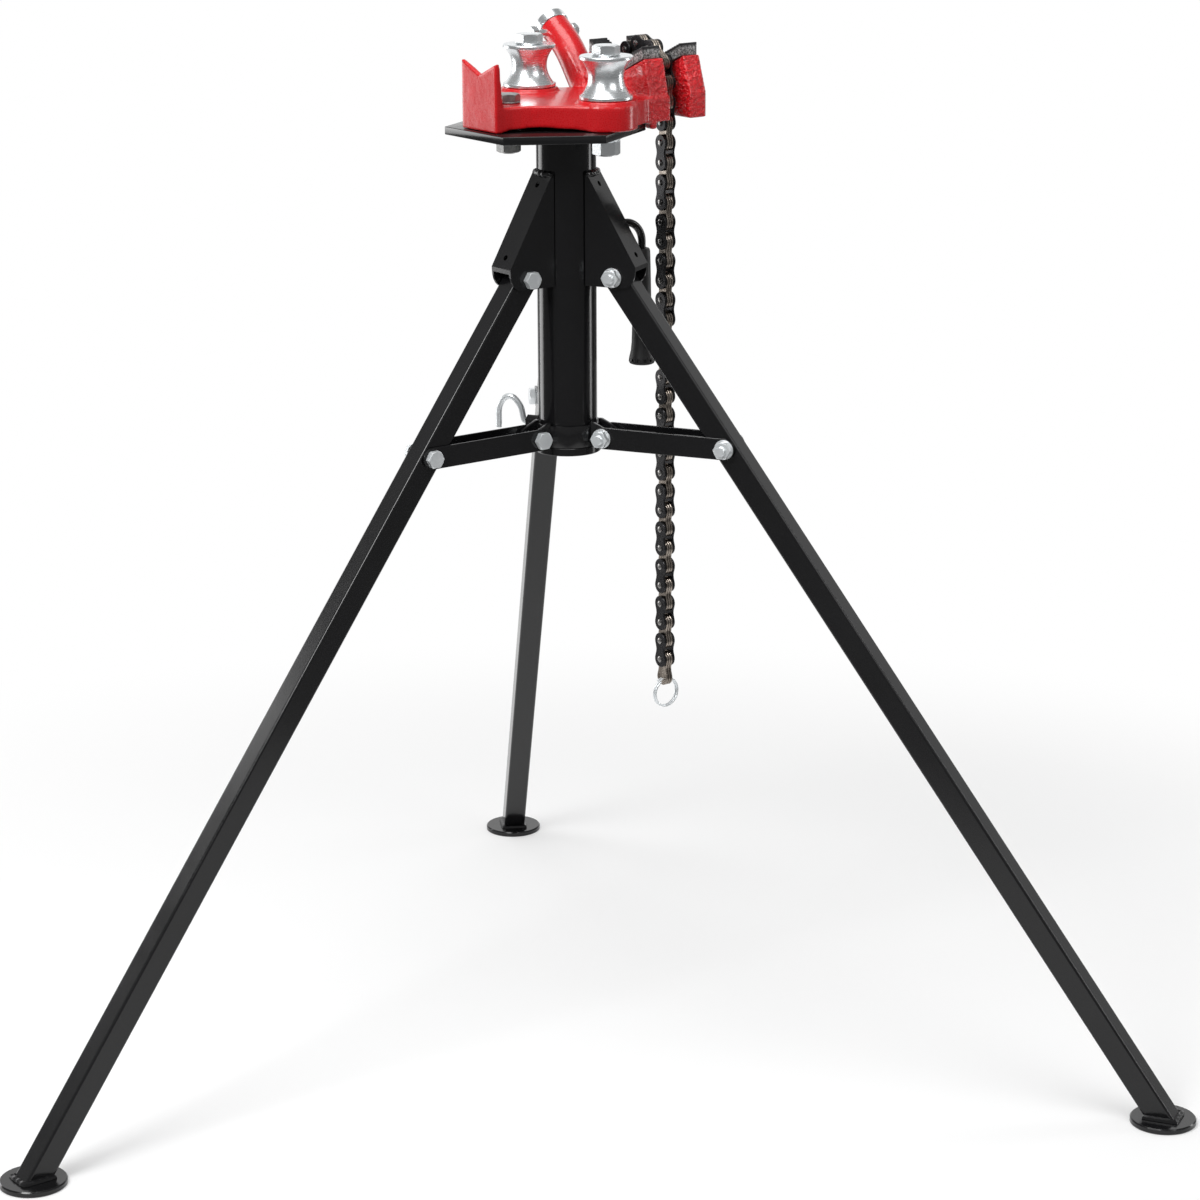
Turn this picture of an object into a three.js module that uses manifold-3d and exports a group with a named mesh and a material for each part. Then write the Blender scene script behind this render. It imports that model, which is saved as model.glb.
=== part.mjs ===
// Folding tripod stand with a chain vise head for pipe.
// Millimetres, +Z up, feet on z = 0. The pipe lies along X in the V rest and the V jaws.
// Leg A points to -X under the V rest, legs B and C stand either side of the jaws.
import * as THREE from 'three';
import { mergeVertices } from 'three/addons/utils/BufferGeometryUtils.js';
import Module from 'manifold-3d';

const wasm = await Module();
wasm.setup();

// Fits
const SEAT = 0.3; // gap between faces that bear on each other
const CLEAR = 0.35; // radial gap round a pin or a bolt

// Working height: the bottom of every V, where the pipe lies
const VALLEY_Z = 1020;
const VALLEY_RISE = 55; // from the top plate up to the V

// Column and top plate
const PLATE_TOP_Z = VALLEY_Z - VALLEY_RISE;
const PLATE_SIDE = 100;
const PLATE_T = 8;
const PLATE_SHIFT = -25;
const COLUMN_D = 60;
const COLUMN_WALL = 3;
const COLUMN_L = 333; // from the plate's top down to the lip
const COLUMN_FOOT_Z = PLATE_TOP_Z - COLUMN_L;
const LIP_D = 67;
const LIP_H = 8;

// Hoods that carry the leg pivots
const HOOD_T = 2.5;
const HOOD_SIDE_GAP = 1;
const HOOD_BELOW = 49; // hood's top under the plate's top
const HOOD_TOP_Z = PLATE_TOP_Z - HOOD_BELOW;
const HOOD_L = 101; // from the hood's top down to the pivot
const PIVOT_Z = HOOD_TOP_Z - HOOD_L;
const PIVOT_R = 56;
const SPINE_END = 12; // the spine stops this far above the pivot
const HOOD_SPINE_Z = PIVOT_Z + SPINE_END;
const HOOD_SPINE_R = 81;
const HOOD_DROP = 10; // flange below the pivot
const HOOD_HOLE_D = 6;

// Legs and feet
const LEG_ANGLES = { a: Math.PI, b: -Math.PI / 3, c: Math.PI / 3 };
const LEG_W = 25;
const LEG_WALL = 2;
const LEG_HEEL = 17; // length of leg above its pivot
const FOOT_R = 643;
const FOOT_D = 66;
const FOOT_T = 6;
const FOOT_EDGE = 1.5;

// Braces and collar
const BRACE_LIFT = 18; // brace bolts above the column's lower end
const BRACE_Z = COLUMN_FOOT_Z + BRACE_LIFT;
const BRACE_H = 22;
const BRACE_T = 2;
const BRACE_SIDE_GAP = 0.7;
const WEB_CUT_COLLAR = 30; // web ends this far from the collar bolt
const WEB_CUT_LEG = 50; // and this far from the leg bolt
const COLLAR_BOLT_R = 43.5;
const COLLAR_H = 22;
const COLLAR_WALL = 3;
const COLLAR_GAP = 0.5;
const LUG_T = 4;
const LUG_H = 30;

// Bolts: shank, head and flange nut
const M10 = { d: 10, af: 16, head: 6.4, nut: 8, flange: 20, flangeT: 2, tail: 4 };
const M14 = { d: 14, af: 21, head: 8.8, nut: 15, flange: 25, flangeT: 2.5, tail: 1 };
const M16 = { d: 16, af: 24, head: 10, nut: 17, flange: 31, flangeT: 3, tail: 1 };
const M8 = { d: 8, af: 13, head: 5.3, nut: 6.5, flange: 14, flangeT: 1.6, tail: 3 };

// Clamp screw on the collar
const CLAMP_ANGLE = 120;
const CLAMP_D = 6;
const CLAMP_LIFT = 7; // screw above the brace bolts
const CLAMP_Z = BRACE_Z + CLAMP_LIFT;
const CLAMP_RISE = 25;
const CLAMP_REACH = 47;
const CLAMP_STRAIGHT = 4; // straight wire past the boss
const CLAMP_TAIL = 8; // hook's end below the screw
const BOSS_D = 15;
const BOSS_L = 11;

// Carrying handle
const HANDLE_D = 8;
const HANDLE_BELOW = 108; // rod under the plate's top
const HANDLE_Z = PLATE_TOP_Z - HANDLE_BELOW;
const HANDLE_R = 95;
const HANDLE_BEND = 21;
const GRIP_BELOW = 28; // grip's top under the rod
const GRIP_TOP_Z = HANDLE_Z - GRIP_BELOW;
const GRIP_L = 120;
const GRIP_D = 17;
const GRIP_END_D = 27;
const GRIP_FLARE_L = 24;
const GRIP_EDGE = 2;

// Vise casting
const BASE_H = 25;
const PAD_R = 31;
const PAD_H = 4;
const PAD_STEP = 2; // pad's rim inside the base's outline
const ROLLER_X = 2;
const ROLLER_Y = 64;
const REST_BOLT_X = -70;
const REST_X = -105;
const REST_W = 58;
const REST_FOOT_T = 11;
const REST_TIP_T = 5;
const V_SLOPE = 24; // degrees from level
const TOWER_FOOT_W = 116;
const TOWER_TOP_W = 92;
const TOWER_LEDGE = 3; // base left showing beside the front tower
const TOWER_X = 62;
const TOWER_T = 25;
const SLOT_W = 24;
const SLOT_WEB_W = 36;
const SLOT_FAR_Y = 56;
const TOWER2_T = 21;
const JAW_T = 21.5;
const JAW_H = 13;
const JAW_W = 88;
const TOOTH_P = 3.6;
const TOOTH_H = 1.8;
const JAW_EDGE = 2; // plain strip above the teeth
const JAW_LEDGE = 1.5; // tower left showing behind the rear jaw
const UNDERCUT_R = 200; // hollow under the base
const UNDERCUT_H = 4;
const HOOK_W = 7; // chain hook under the near side
const HOOK_L = 12;
const HOOK_DROP = 7;
const HOOK_BACK = 1; // hook set back from the tower's front

// Bending rollers
const ROLLER_H = 42.5;
const ROLLER_D = 53;
const ROLLER_WAIST = 35;
const ROLLER_RIM = 4;
const ROLLER_STEP = 2; // rim stands this far out of the hollow

// Leaning socket
const SOCKET_X = 70;
const SOCKET_Y = 62;
const SOCKET_D = 31;
const SOCKET_BORE = 20;
const SOCKET_DEPTH = 30;
const SOCKET_LEAN = 52; // degrees from vertical at the mouth
const SOCKET_TOP_Y = 114.4;
const SOCKET_RISE = 24.8; // mouth's middle above the V
const SOCKET_TOP_Z = VALLEY_Z + SOCKET_RISE;
const SOCKET_BOLT_BACK = 7.7; // bolt axis below the mouth
const SOCKET_BOLT_STAND = 12.5; // shank left showing under the bolt's head
const SLEEVE_L = 10.5;
const SLEEVE_D = 33;
const SLEEVE_EDGE = 1.5;

// Chain
const PITCH = 20;
const CHAIN_GAP = 0.4;
const LOBE_R = 8.4;
const WAIST_R = 6.2;
const SIDE_T = 2.3;
const LEAF_W = 8.2;
const RIVET_D = 6.6;
const RIVET_HEAD = 1.1;
const ARCH_R = 36;
const ARCH_Y = 2;
const ARCH_DROP = 20; // middle of the chain's arch below the V
const ARCH_Z = VALLEY_Z - ARCH_DROP;
const ARCH_LINKS = 6;
const HANG_LINKS = 30;
const ANCHOR_D = 6.6;

// Split ring
const RING_R = 15;
const RING_WIRE = 2.2;
const RING_STEP = 3;
const RING_TURNS = 2;

const rad = THREE.MathUtils.degToRad;
const V2 = (x, y) => new THREE.Vector2(x, y);
const V3 = (x, y, z) => new THREE.Vector3(x, y, z);

// Closed three.js geometry to a solid, faces turned outward.
function solid(geometry) {
  const g = geometry.clone();
  for (const name of Object.keys(g.attributes)) {
    if (name !== 'position') g.deleteAttribute(name);
  }
  const merged = mergeVertices(g, 1e-4);
  const pos = merged.attributes.position.array;
  const src = merged.index.array;
  const tri = [];
  let volume = 0;
  for (let i = 0; i < src.length; i += 3) {
    const [a, b, c] = [src[i], src[i + 1], src[i + 2]];
    if (a === b || b === c || c === a) continue;
    tri.push(a, b, c);
    const p = [a, b, c].map((k) => V3(pos[3 * k], pos[3 * k + 1], pos[3 * k + 2]));
    volume += p[0].dot(p[1].clone().cross(p[2]));
  }
  if (volume < 0) {
    for (let i = 0; i < tri.length; i += 3) {
      [tri[i + 1], tri[i + 2]] = [tri[i + 2], tri[i + 1]];
    }
  }
  return new wasm.Manifold(new wasm.Mesh({
    numProp: 3,
    vertProperties: new Float32Array(pos),
    triVerts: new Uint32Array(tri),
  }));
}

// Solid back to a three.js geometry.
function geometryOf(body) {
  const m = body.getMesh();
  const n = m.numProp;
  const pos = [];
  for (let i = 0; i < m.vertProperties.length; i += n) {
    pos.push(m.vertProperties[i], m.vertProperties[i + 1], m.vertProperties[i + 2]);
  }
  const g = new THREE.BufferGeometry();
  g.setAttribute('position', new THREE.Float32BufferAttribute(pos, 3));
  g.setIndex(Array.from(m.triVerts));
  g.computeVertexNormals();
  return g;
}

const join = (first, ...rest) => rest.reduce((s, t) => s.add(t), first);
const cut = (first, ...rest) => rest.reduce((s, t) => s.subtract(t), first);

// Basis turns: shape x, shape y and depth go to the named axes.
const TO_YZ = new THREE.Matrix4().makeBasis(V3(0, 1, 0), V3(0, 0, 1), V3(1, 0, 0));
const TO_RZ = new THREE.Matrix4().makeBasis(V3(1, 0, 0), V3(0, 0, 1), V3(0, -1, 0));
const ALONG_X = new THREE.Matrix4().makeBasis(V3(0, 1, 0), V3(0, 0, 1), V3(1, 0, 0));
const ALONG_Y = new THREE.Matrix4().makeBasis(V3(0, 0, 1), V3(1, 0, 0), V3(0, 1, 0));

function box(x0, x1, y0, y1, z0, z1) {
  const g = new THREE.BoxGeometry(x1 - x0, y1 - y0, z1 - z0);
  g.translate((x0 + x1) / 2, (y0 + y1) / 2, (z0 + z1) / 2);
  return solid(g);
}

function rodGeometry(r, z0, z1, sides = 16) {
  const g = new THREE.CylinderGeometry(r, r, z1 - z0, sides);
  g.rotateX(Math.PI / 2);
  g.translate(0, 0, (z0 + z1) / 2);
  return g;
}

function rod(r, z0, z1, sides = 16) {
  return solid(rodGeometry(r, z0, z1, sides));
}

function turned(profile, sides = 32) {
  const g = new THREE.LatheGeometry(profile.map(([r, z]) => V2(r, z)), sides);
  g.rotateX(Math.PI / 2);
  return g;
}

function prism(shape, depth, segments = 6) {
  return new THREE.ExtrudeGeometry(shape, { depth, bevelEnabled: false, curveSegments: segments });
}

function polygon(points) {
  return new THREE.Shape(points.map(([x, y]) => V2(x, y)));
}

// Shape in the X-Y plane, raised from z0 to z1.
function slab(shape, z0, z1, segments) {
  const g = prism(shape, z1 - z0, segments);
  g.translate(0, 0, z0);
  return solid(g);
}

// Shape in the radius-height plane of a leg, from y0 to y1 across the leg.
function cheek(shape, y0, y1, segments) {
  const g = prism(shape, y1 - y0, segments);
  g.applyMatrix4(TO_RZ);
  g.translate(0, y1, 0);
  return solid(g);
}

// Shape in the Y-Z plane, from x0 to x1 along the pipe.
function across(shape, x0, x1, segments) {
  const g = prism(shape, x1 - x0, segments);
  g.applyMatrix4(TO_YZ);
  g.translate(x0, 0, 0);
  return solid(g);
}

// Round bar along a curve.
function bar(curve, r, steps, sides = 8) {
  const circle = [];
  for (let i = 0; i < sides; i += 1) {
    const t = (2 * Math.PI * i) / sides;
    circle.push([r * Math.cos(t), r * Math.sin(t)]);
  }
  return new THREE.ExtrudeGeometry(polygon(circle), { steps, bevelEnabled: false, extrudePath: curve });
}

// Bore along Y through the point (x, z).
function boreY(r, x, z, reach, sides = 10) {
  const g = rodGeometry(r / Math.cos(Math.PI / sides), -reach, reach, sides);
  g.applyMatrix4(ALONG_Y);
  g.translate(x, 0, z);
  return solid(g);
}

// Bolt along +Z: head below the grip's start, washer-faced nut past its end.
function boltSolid(m, grip, sides = 8) {
  const head = new THREE.CylinderGeometry(m.af / Math.sqrt(3), m.af / Math.sqrt(3), m.head, 6);
  head.rotateX(Math.PI / 2);
  head.translate(0, 0, -SEAT - m.head / 2);
  const nut = new THREE.CylinderGeometry(m.af / Math.sqrt(3), m.af / Math.sqrt(3), m.nut, 6);
  nut.rotateX(Math.PI / 2);
  nut.translate(0, 0, grip + SEAT + m.nut / 2);
  const flange = rod(m.flange / 2, grip + SEAT, grip + SEAT + m.flangeT, 14);
  const shank = rod(m.d / 2, -SEAT - m.head / 2, grip + SEAT + m.nut + m.tail, sides);
  return join(shank, solid(head), solid(nut), flange);
}

const mat = (color, roughness, metalness) => new THREE.MeshStandardMaterial({ color, roughness, metalness });
const BLACK = mat(0x141416, 0.35, 0.1);
const RED = mat(0xc8141a, 0.4, 0.0);
const ZINC = mat(0xc9d0d2, 0.3, 1.0);
const STEEL = mat(0x2a2826, 0.4, 0.9);
const JAW = mat(0x2e2d2c, 0.6, 0.7);
const RUBBER = mat(0x1a1a1a, 0.7, 0.0);

const stand = new THREE.Group();
function piece(parent, name, geometry, material) {
  const mesh = new THREE.Mesh(geometry, material);
  mesh.name = name;
  parent.add(mesh);
  return mesh;
}

// Column: a tube with a lip that stops the collar.
const columnR = COLUMN_D / 2;
const columnTop = PLATE_TOP_Z - PLATE_T - SEAT;
const lipTop = COLUMN_FOOT_Z + LIP_H;
const bore = columnR - COLUMN_WALL;
piece(stand, 'column_tube', turned([
  [bore, COLUMN_FOOT_Z],
  [LIP_D / 2, COLUMN_FOOT_Z],
  [LIP_D / 2, lipTop],
  [columnR, lipTop],
  [columnR, columnTop],
  [bore, columnTop],
  [bore, COLUMN_FOOT_Z],
], 36), BLACK);

// Top plate: a hexagon with an edge square to the pipe, drilled for the three head bolts.
const headBolts = [
  { name: 'rest_bolt', m: M14, x: REST_BOLT_X, y: 0, top: PLATE_TOP_Z + BASE_H },
  { name: 'roller_bolt_near', m: M16, x: ROLLER_X, y: -ROLLER_Y },
  { name: 'roller_bolt_far', m: M16, x: ROLLER_X, y: ROLLER_Y },
];
const hexPoints = [];
for (let i = 0; i < 6; i += 1) {
  const t = rad(30 + 60 * i);
  hexPoints.push([PLATE_SHIFT + PLATE_SIDE * Math.cos(t), PLATE_SIDE * Math.sin(t)]);
}
function headBores(z0, z1) {
  return headBolts.map(({ m, x, y }) => {
    const g = rodGeometry(m.d / 2 + CLEAR, z0, z1, 12);
    g.translate(x, y, 0);
    return solid(g);
  });
}
const plateBody = cut(
  slab(polygon(hexPoints), PLATE_TOP_Z - PLATE_T, PLATE_TOP_Z),
  ...headBores(PLATE_TOP_Z - 2 * PLATE_T, PLATE_TOP_Z + PLATE_T),
);
piece(stand, 'top_plate', geometryOf(plateBody), BLACK);

// Leg slope: the leg's axis runs from its pivot to the middle of its foot.
const legTilt = Math.atan2(FOOT_R - PIVOT_R, PIVOT_Z - FOOT_T);
const legBoltR = PIVOT_R + (PIVOT_Z - BRACE_Z) * Math.tan(legTilt);

// Hood: one folded sheet, a sloping spine with two cheeks to the column.
function hoodBody() {
  const inside = LEG_W / 2 + HOOD_SIDE_GAP;
  const outside = inside + HOOD_T;
  const bottom = PIVOT_Z - HOOD_DROP;
  const slope = (HOOD_SPINE_R - columnR) / (HOOD_TOP_Z - HOOD_SPINE_Z);
  const spineAt = (z) => HOOD_SPINE_R - (z - HOOD_SPINE_Z) * slope;
  const inset = HOOD_T * Math.hypot(1, slope);
  const side = new THREE.Shape();
  side.moveTo(bore, bottom);
  side.lineTo(PIVOT_R + HOOD_DROP, bottom);
  side.quadraticCurveTo(HOOD_SPINE_R, bottom, HOOD_SPINE_R, HOOD_SPINE_Z);
  side.lineTo(spineAt(HOOD_TOP_Z), HOOD_TOP_Z);
  side.lineTo(bore, HOOD_TOP_Z);
  const low = bottom - HOOD_DROP;
  const high = HOOD_TOP_Z + HOOD_DROP;
  const hollow = polygon([
    [0, low],
    [spineAt(low) - inset, low],
    [spineAt(high) - inset, high],
    [0, high],
  ]);
  const holes = [HOOD_SPINE_Z + HOOD_DROP, HOOD_TOP_Z - HOOD_DROP].map((z) => {
    const g = rodGeometry(HOOD_HOLE_D / 2, -4 * HOOD_T, 4 * HOOD_T, 10);
    g.rotateY(Math.PI / 2 - Math.atan(slope));
    g.translate(spineAt(z), 0, z);
    return solid(g);
  });
  return cut(
    cheek(side, -outside, outside, 6),
    cheek(hollow, -inside, inside),
    rod(columnR + SEAT, bottom - HOOD_DROP, HOOD_TOP_Z + HOOD_DROP, 36),
    boreY(M10.d / 2 + CLEAR, PIVOT_R, PIVOT_Z, 2 * outside),
    ...holes,
  );
}

// Leg: square tube, cut level at the foot, drilled for its pivot and its brace.
function legBody() {
  const half = LEG_W / 2;
  const square = polygon([[-half, -half], [half, -half], [half, half], [-half, half]]);
  const inner = half - LEG_WALL;
  const hollow = [[-inner, -inner], [-inner, inner], [inner, inner], [inner, -inner]];
  square.holes.push(new THREE.Path(hollow.map(([x, y]) => V2(x, y))));
  const length = (PIVOT_Z - FOOT_T) / Math.cos(legTilt) + LEG_W;
  const g = prism(square, length + LEG_HEEL);
  g.translate(0, 0, -length);
  g.rotateY(-legTilt);
  g.translate(PIVOT_R, 0, PIVOT_Z);
  const far = FOOT_R + FOOT_D;
  return cut(
    solid(g),
    box(0, far, -LEG_W, LEG_W, -3 * FOOT_D, FOOT_T + SEAT),
    boreY(M10.d / 2 + CLEAR, PIVOT_R, PIVOT_Z, LEG_W),
    boreY(M10.d / 2 + CLEAR, legBoltR, BRACE_Z, LEG_W),
  );
}

const footGeometry = turned([
  [0, 0],
  [FOOT_D / 2, 0],
  [FOOT_D / 2, FOOT_T - FOOT_EDGE],
  [FOOT_D / 2 - FOOT_EDGE, FOOT_T],
  [0, FOOT_T],
], 24);

// Brace: channel open at the top, round ends astride the leg and the collar lug.
const braceInside = LEG_W / 2 + BRACE_SIDE_GAP;
const braceOutside = braceInside + BRACE_T;
function braceBody() {
  const h = BRACE_H / 2;
  const side = new THREE.Shape();
  side.moveTo(COLLAR_BOLT_R, BRACE_Z - h);
  side.lineTo(legBoltR, BRACE_Z - h);
  side.absarc(legBoltR, BRACE_Z, h, -Math.PI / 2, Math.PI / 2, false);
  side.lineTo(COLLAR_BOLT_R, BRACE_Z + h);
  side.absarc(COLLAR_BOLT_R, BRACE_Z, h, Math.PI / 2, 1.5 * Math.PI, false);
  const low = BRACE_Z - BRACE_H;
  const high = BRACE_Z + BRACE_H;
  const floor = BRACE_Z - h + BRACE_T;
  const w = braceInside;
  return cut(
    cheek(side, -braceOutside, braceOutside, 5),
    box(0, legBoltR + BRACE_H, -w, w, floor, high),
    box(0, COLLAR_BOLT_R + WEB_CUT_COLLAR, -w, w, low, high),
    box(legBoltR - WEB_CUT_LEG, legBoltR + BRACE_H, -w, w, low, high),
    boreY(M10.d / 2 + CLEAR, COLLAR_BOLT_R, BRACE_Z, LEG_W),
    boreY(M10.d / 2 + CLEAR, legBoltR, BRACE_Z, LEG_W),
  );
}

// Cross bolt through a pair of cheeks, head on the +Y side.
function crossBolt(outside, x, z) {
  const g = geometryOf(boltSolid(M10, 2 * outside));
  g.applyMatrix4(ALONG_Y);
  g.rotateZ(Math.PI);
  g.translate(x, outside, z);
  return g;
}

// The brace's leg bolt in two ends, each riding in its own cheek of the channel.
function halfBolt(keepHead) {
  const whole = boltSolid(M10, 2 * braceOutside);
  const reach = 10 * M10.d;
  const inner = BRACE_T - SEAT;
  const mid = 2 * braceOutside;
  const drop = keepHead
    ? box(-reach, reach, -reach, reach, inner, reach)
    : box(-reach, reach, -reach, reach, -reach, mid - inner);
  const g = geometryOf(cut(whole, drop));
  g.applyMatrix4(ALONG_Y);
  g.rotateZ(Math.PI);
  g.translate(legBoltR, braceOutside, BRACE_Z);
  return g;
}

const hoodGeometry = geometryOf(hoodBody());
const legGeometry = geometryOf(legBody());
const braceGeometry = geometryOf(braceBody());
const pivotBolt = crossBolt(LEG_W / 2 + HOOD_SIDE_GAP + HOOD_T, PIVOT_R, PIVOT_Z);
const collarBolt = crossBolt(braceOutside, COLLAR_BOLT_R, BRACE_Z);
const braceHead = halfBolt(true);
const braceNut = halfBolt(false);
for (const [key, angle] of Object.entries(LEG_ANGLES)) {
  const sector = new THREE.Group();
  sector.rotation.z = angle;
  stand.add(sector);
  piece(sector, `hood_${key}`, hoodGeometry, BLACK);
  piece(sector, `leg_${key}`, legGeometry, BLACK);
  piece(sector, `foot_${key}`, footGeometry, BLACK).position.set(FOOT_R, 0, 0);
  piece(sector, `brace_${key}`, braceGeometry, BLACK);
  piece(sector, `leg_bolt_${key}`, pivotBolt, ZINC);
  piece(sector, `collar_bolt_${key}`, collarBolt, ZINC);
  piece(sector, `brace_bolt_head_${key}`, braceHead, ZINC);
  piece(sector, `brace_bolt_nut_${key}`, braceNut, ZINC);
}

// Collar: a ring on the column with a pair of lug plates for each brace and a boss for its clamp.
const collarIn = columnR + COLLAR_GAP;
const collarOut = collarIn + COLLAR_WALL;
const collarZ = lipTop + SEAT;
function collarBody() {
  let body = rod(collarOut, collarZ, collarZ + COLLAR_H, 30);
  const lugOut = LEG_W / 2;
  const h = LUG_H / 2;
  const eye = BRACE_Z - collarZ;
  for (const angle of Object.values(LEG_ANGLES)) {
    for (const s of [-1, 1]) {
      const side = new THREE.Shape();
      side.moveTo(columnR, collarZ);
      side.lineTo(COLLAR_BOLT_R, collarZ);
      side.absarc(COLLAR_BOLT_R, BRACE_Z, eye, -Math.PI / 2, Math.PI / 4, false);
      side.lineTo(columnR + COLLAR_WALL, BRACE_Z + h);
      side.lineTo(columnR, BRACE_Z + h);
      const g = prism(side, LUG_T, 3);
      g.applyMatrix4(TO_RZ);
      g.translate(0, s > 0 ? lugOut : LUG_T - lugOut, 0);
      g.rotateZ(angle);
      const hole = rodGeometry(M10.d / 2 + CLEAR, -LEG_W, LEG_W, 8);
      hole.applyMatrix4(ALONG_Y);
      hole.translate(COLLAR_BOLT_R, 0, BRACE_Z);
      hole.rotateZ(angle);
      body = body.add(solid(g)).subtract(solid(hole));
    }
  }
  const boss = rodGeometry(BOSS_D / 2, columnR, collarOut + BOSS_L, 6);
  boss.applyMatrix4(ALONG_X);
  boss.translate(0, 0, CLAMP_Z);
  boss.rotateZ(rad(CLAMP_ANGLE));
  const tap = rodGeometry(CLAMP_D / 2 + CLEAR, 0, collarOut + 2 * BOSS_L, 10);
  tap.applyMatrix4(ALONG_X);
  tap.translate(0, 0, CLAMP_Z);
  tap.rotateZ(rad(CLAMP_ANGLE));
  return cut(
    body.add(solid(boss)),
    rod(collarIn, COLUMN_FOOT_Z, BRACE_Z + 2 * LUG_H, 30),
    solid(tap),
  );
}
piece(stand, 'collar', geometryOf(collarBody()), BLACK);

// Clamp screw: a rod through the boss that rises, turns over and comes down as a hook.
const clampR = columnR + SEAT;
const clampOut = collarOut + BOSS_L + CLAMP_STRAIGHT;
const clampCurve = new THREE.CatmullRomCurve3([
  V3(clampR, 0, CLAMP_Z),
  V3((clampR + clampOut) / 2, 0, CLAMP_Z),
  V3(clampOut, 0, CLAMP_Z + CLAMP_RISE * 0.04),
  V3(clampR + CLAMP_REACH * 0.52, 0, CLAMP_Z + CLAMP_RISE * 0.75),
  V3(clampR + CLAMP_REACH * 0.73, 0, CLAMP_Z + CLAMP_RISE),
  V3(clampR + CLAMP_REACH * 0.93, 0, CLAMP_Z + CLAMP_RISE * 0.72),
  V3(clampR + CLAMP_REACH, 0, CLAMP_Z - CLAMP_TAIL),
]);
const clampGroup = new THREE.Group();
clampGroup.rotation.z = rad(CLAMP_ANGLE);
stand.add(clampGroup);
piece(clampGroup, 'clamp_screw', bar(clampCurve, CLAMP_D / 2, 20, 7), ZINC);

// Carrying handle: a rod out of the column that bends down into a rubber grip.
const gripEndZ = GRIP_TOP_Z - GRIP_L;
const rodEnd = gripEndZ + GRIP_D / 2;
const handleX = HANDLE_R - HANDLE_BEND;
const handlePath = new THREE.CurvePath();
handlePath.add(new THREE.LineCurve3(V3(columnR + SEAT, 0, HANDLE_Z), V3(handleX, 0, HANDLE_Z)));
handlePath.add(new THREE.QuadraticBezierCurve3(
  V3(handleX, 0, HANDLE_Z),
  V3(HANDLE_R, 0, HANDLE_Z),
  V3(HANDLE_R, 0, HANDLE_Z - HANDLE_BEND),
));
handlePath.add(new THREE.LineCurve3(V3(HANDLE_R, 0, HANDLE_Z - HANDLE_BEND), V3(HANDLE_R, 0, rodEnd)));
piece(stand, 'carry_handle', bar(handlePath, HANDLE_D / 2, 22, 8), BLACK);
const gripBore = HANDLE_D / 2 + CLEAR;
const grip = turned([
  [0, gripEndZ],
  [GRIP_END_D / 2 - GRIP_EDGE, gripEndZ],
  [GRIP_END_D / 2, gripEndZ + 1.5 * GRIP_EDGE],
  [GRIP_END_D / 2 - GRIP_EDGE, gripEndZ + GRIP_FLARE_L * 0.42],
  [GRIP_D / 2 + GRIP_EDGE, gripEndZ + GRIP_FLARE_L],
  [(GRIP_D + GRIP_EDGE) / 2, gripEndZ + GRIP_L / 2],
  [GRIP_D / 2, GRIP_TOP_Z - GRIP_EDGE],
  [GRIP_D / 2 - GRIP_EDGE, GRIP_TOP_Z],
  [gripBore, GRIP_TOP_Z],
  [gripBore, rodEnd - SEAT],
  [0, rodEnd - SEAT],
], 16);
piece(stand, 'handle_grip', grip, RUBBER).position.set(HANDLE_R, 0, 0);

// Vise casting.
const baseZ = PLATE_TOP_Z + SEAT;
const baseTop = PLATE_TOP_Z + BASE_H;
const padTop = baseTop + PAD_H;
const slope = Math.tan(rad(V_SLOPE));
const slot0 = TOWER_X + TOWER_T;
const slot1 = slot0 + SLOT_W;
const headEnd = slot1 + TOWER2_T;
const jawRear = headEnd - JAW_LEDGE - JAW_T;
const chainX = (slot0 + slot1) / 2;
const vAt = (y) => VALLEY_Z + Math.abs(y) * slope;

// Plan of the base: waisted between the V rest and the roller pads, straight along the towers.
function basePlan() {
  const w = REST_W / 2;
  const t = TOWER_FOOT_W / 2;
  const shape = new THREE.Shape();
  const px = PAD_R * Math.cos(rad(18));
  const py = ROLLER_Y + PAD_R * Math.sin(rad(18));
  shape.moveTo(REST_X, -w);
  shape.lineTo(REST_X + REST_FOOT_T, -w);
  shape.quadraticCurveTo((REST_X + ROLLER_X - px) / 2, -w, ROLLER_X - px, -py);
  shape.absarc(ROLLER_X, -ROLLER_Y, PAD_R, Math.PI + rad(18), 2 * Math.PI - rad(18), false);
  shape.quadraticCurveTo(TOWER_X - LOBE_R, -t, TOWER_X, -t);
  shape.lineTo(headEnd, -t);
  shape.lineTo(headEnd, t);
  shape.lineTo(TOWER_X, t);
  shape.quadraticCurveTo(TOWER_X - LOBE_R, t, ROLLER_X + px, py);
  shape.absarc(ROLLER_X, ROLLER_Y, PAD_R, rad(18), Math.PI - rad(18), false);
  shape.quadraticCurveTo((REST_X + ROLLER_X - px) / 2, w, REST_X + REST_FOOT_T, w);
  shape.lineTo(REST_X, w);
  return shape;
}

// Tower: splayed sides under a V seat for the jaw.
function towerShape(ledge) {
  const f = TOWER_FOOT_W / 2 - ledge;
  const t = TOWER_TOP_W / 2;
  const seat = (y) => vAt(y) - JAW_H - SEAT;
  const right = [[f, baseZ], [f, baseTop], [t, seat(t)]];
  const left = right.map(([y, z]) => [-y, z]).reverse();
  return polygon([...right, [0, seat(0)], ...left]);
}

// V rest: a fin that thins toward its tips, notched to the common V.
function restBody() {
  const w = REST_W / 2;
  const tip = vAt(w);
  const fin = polygon([
    [REST_X, baseZ],
    [REST_X + REST_FOOT_T, baseZ],
    [REST_X + REST_TIP_T, tip],
    [REST_X, tip],
  ]);
  const notch = polygon([[-2 * w, vAt(2 * w)], [0, VALLEY_Z], [2 * w, vAt(2 * w)]]);
  return cut(cheek(fin, -w, w), across(notch, REST_X - w, REST_X + w));
}

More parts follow.
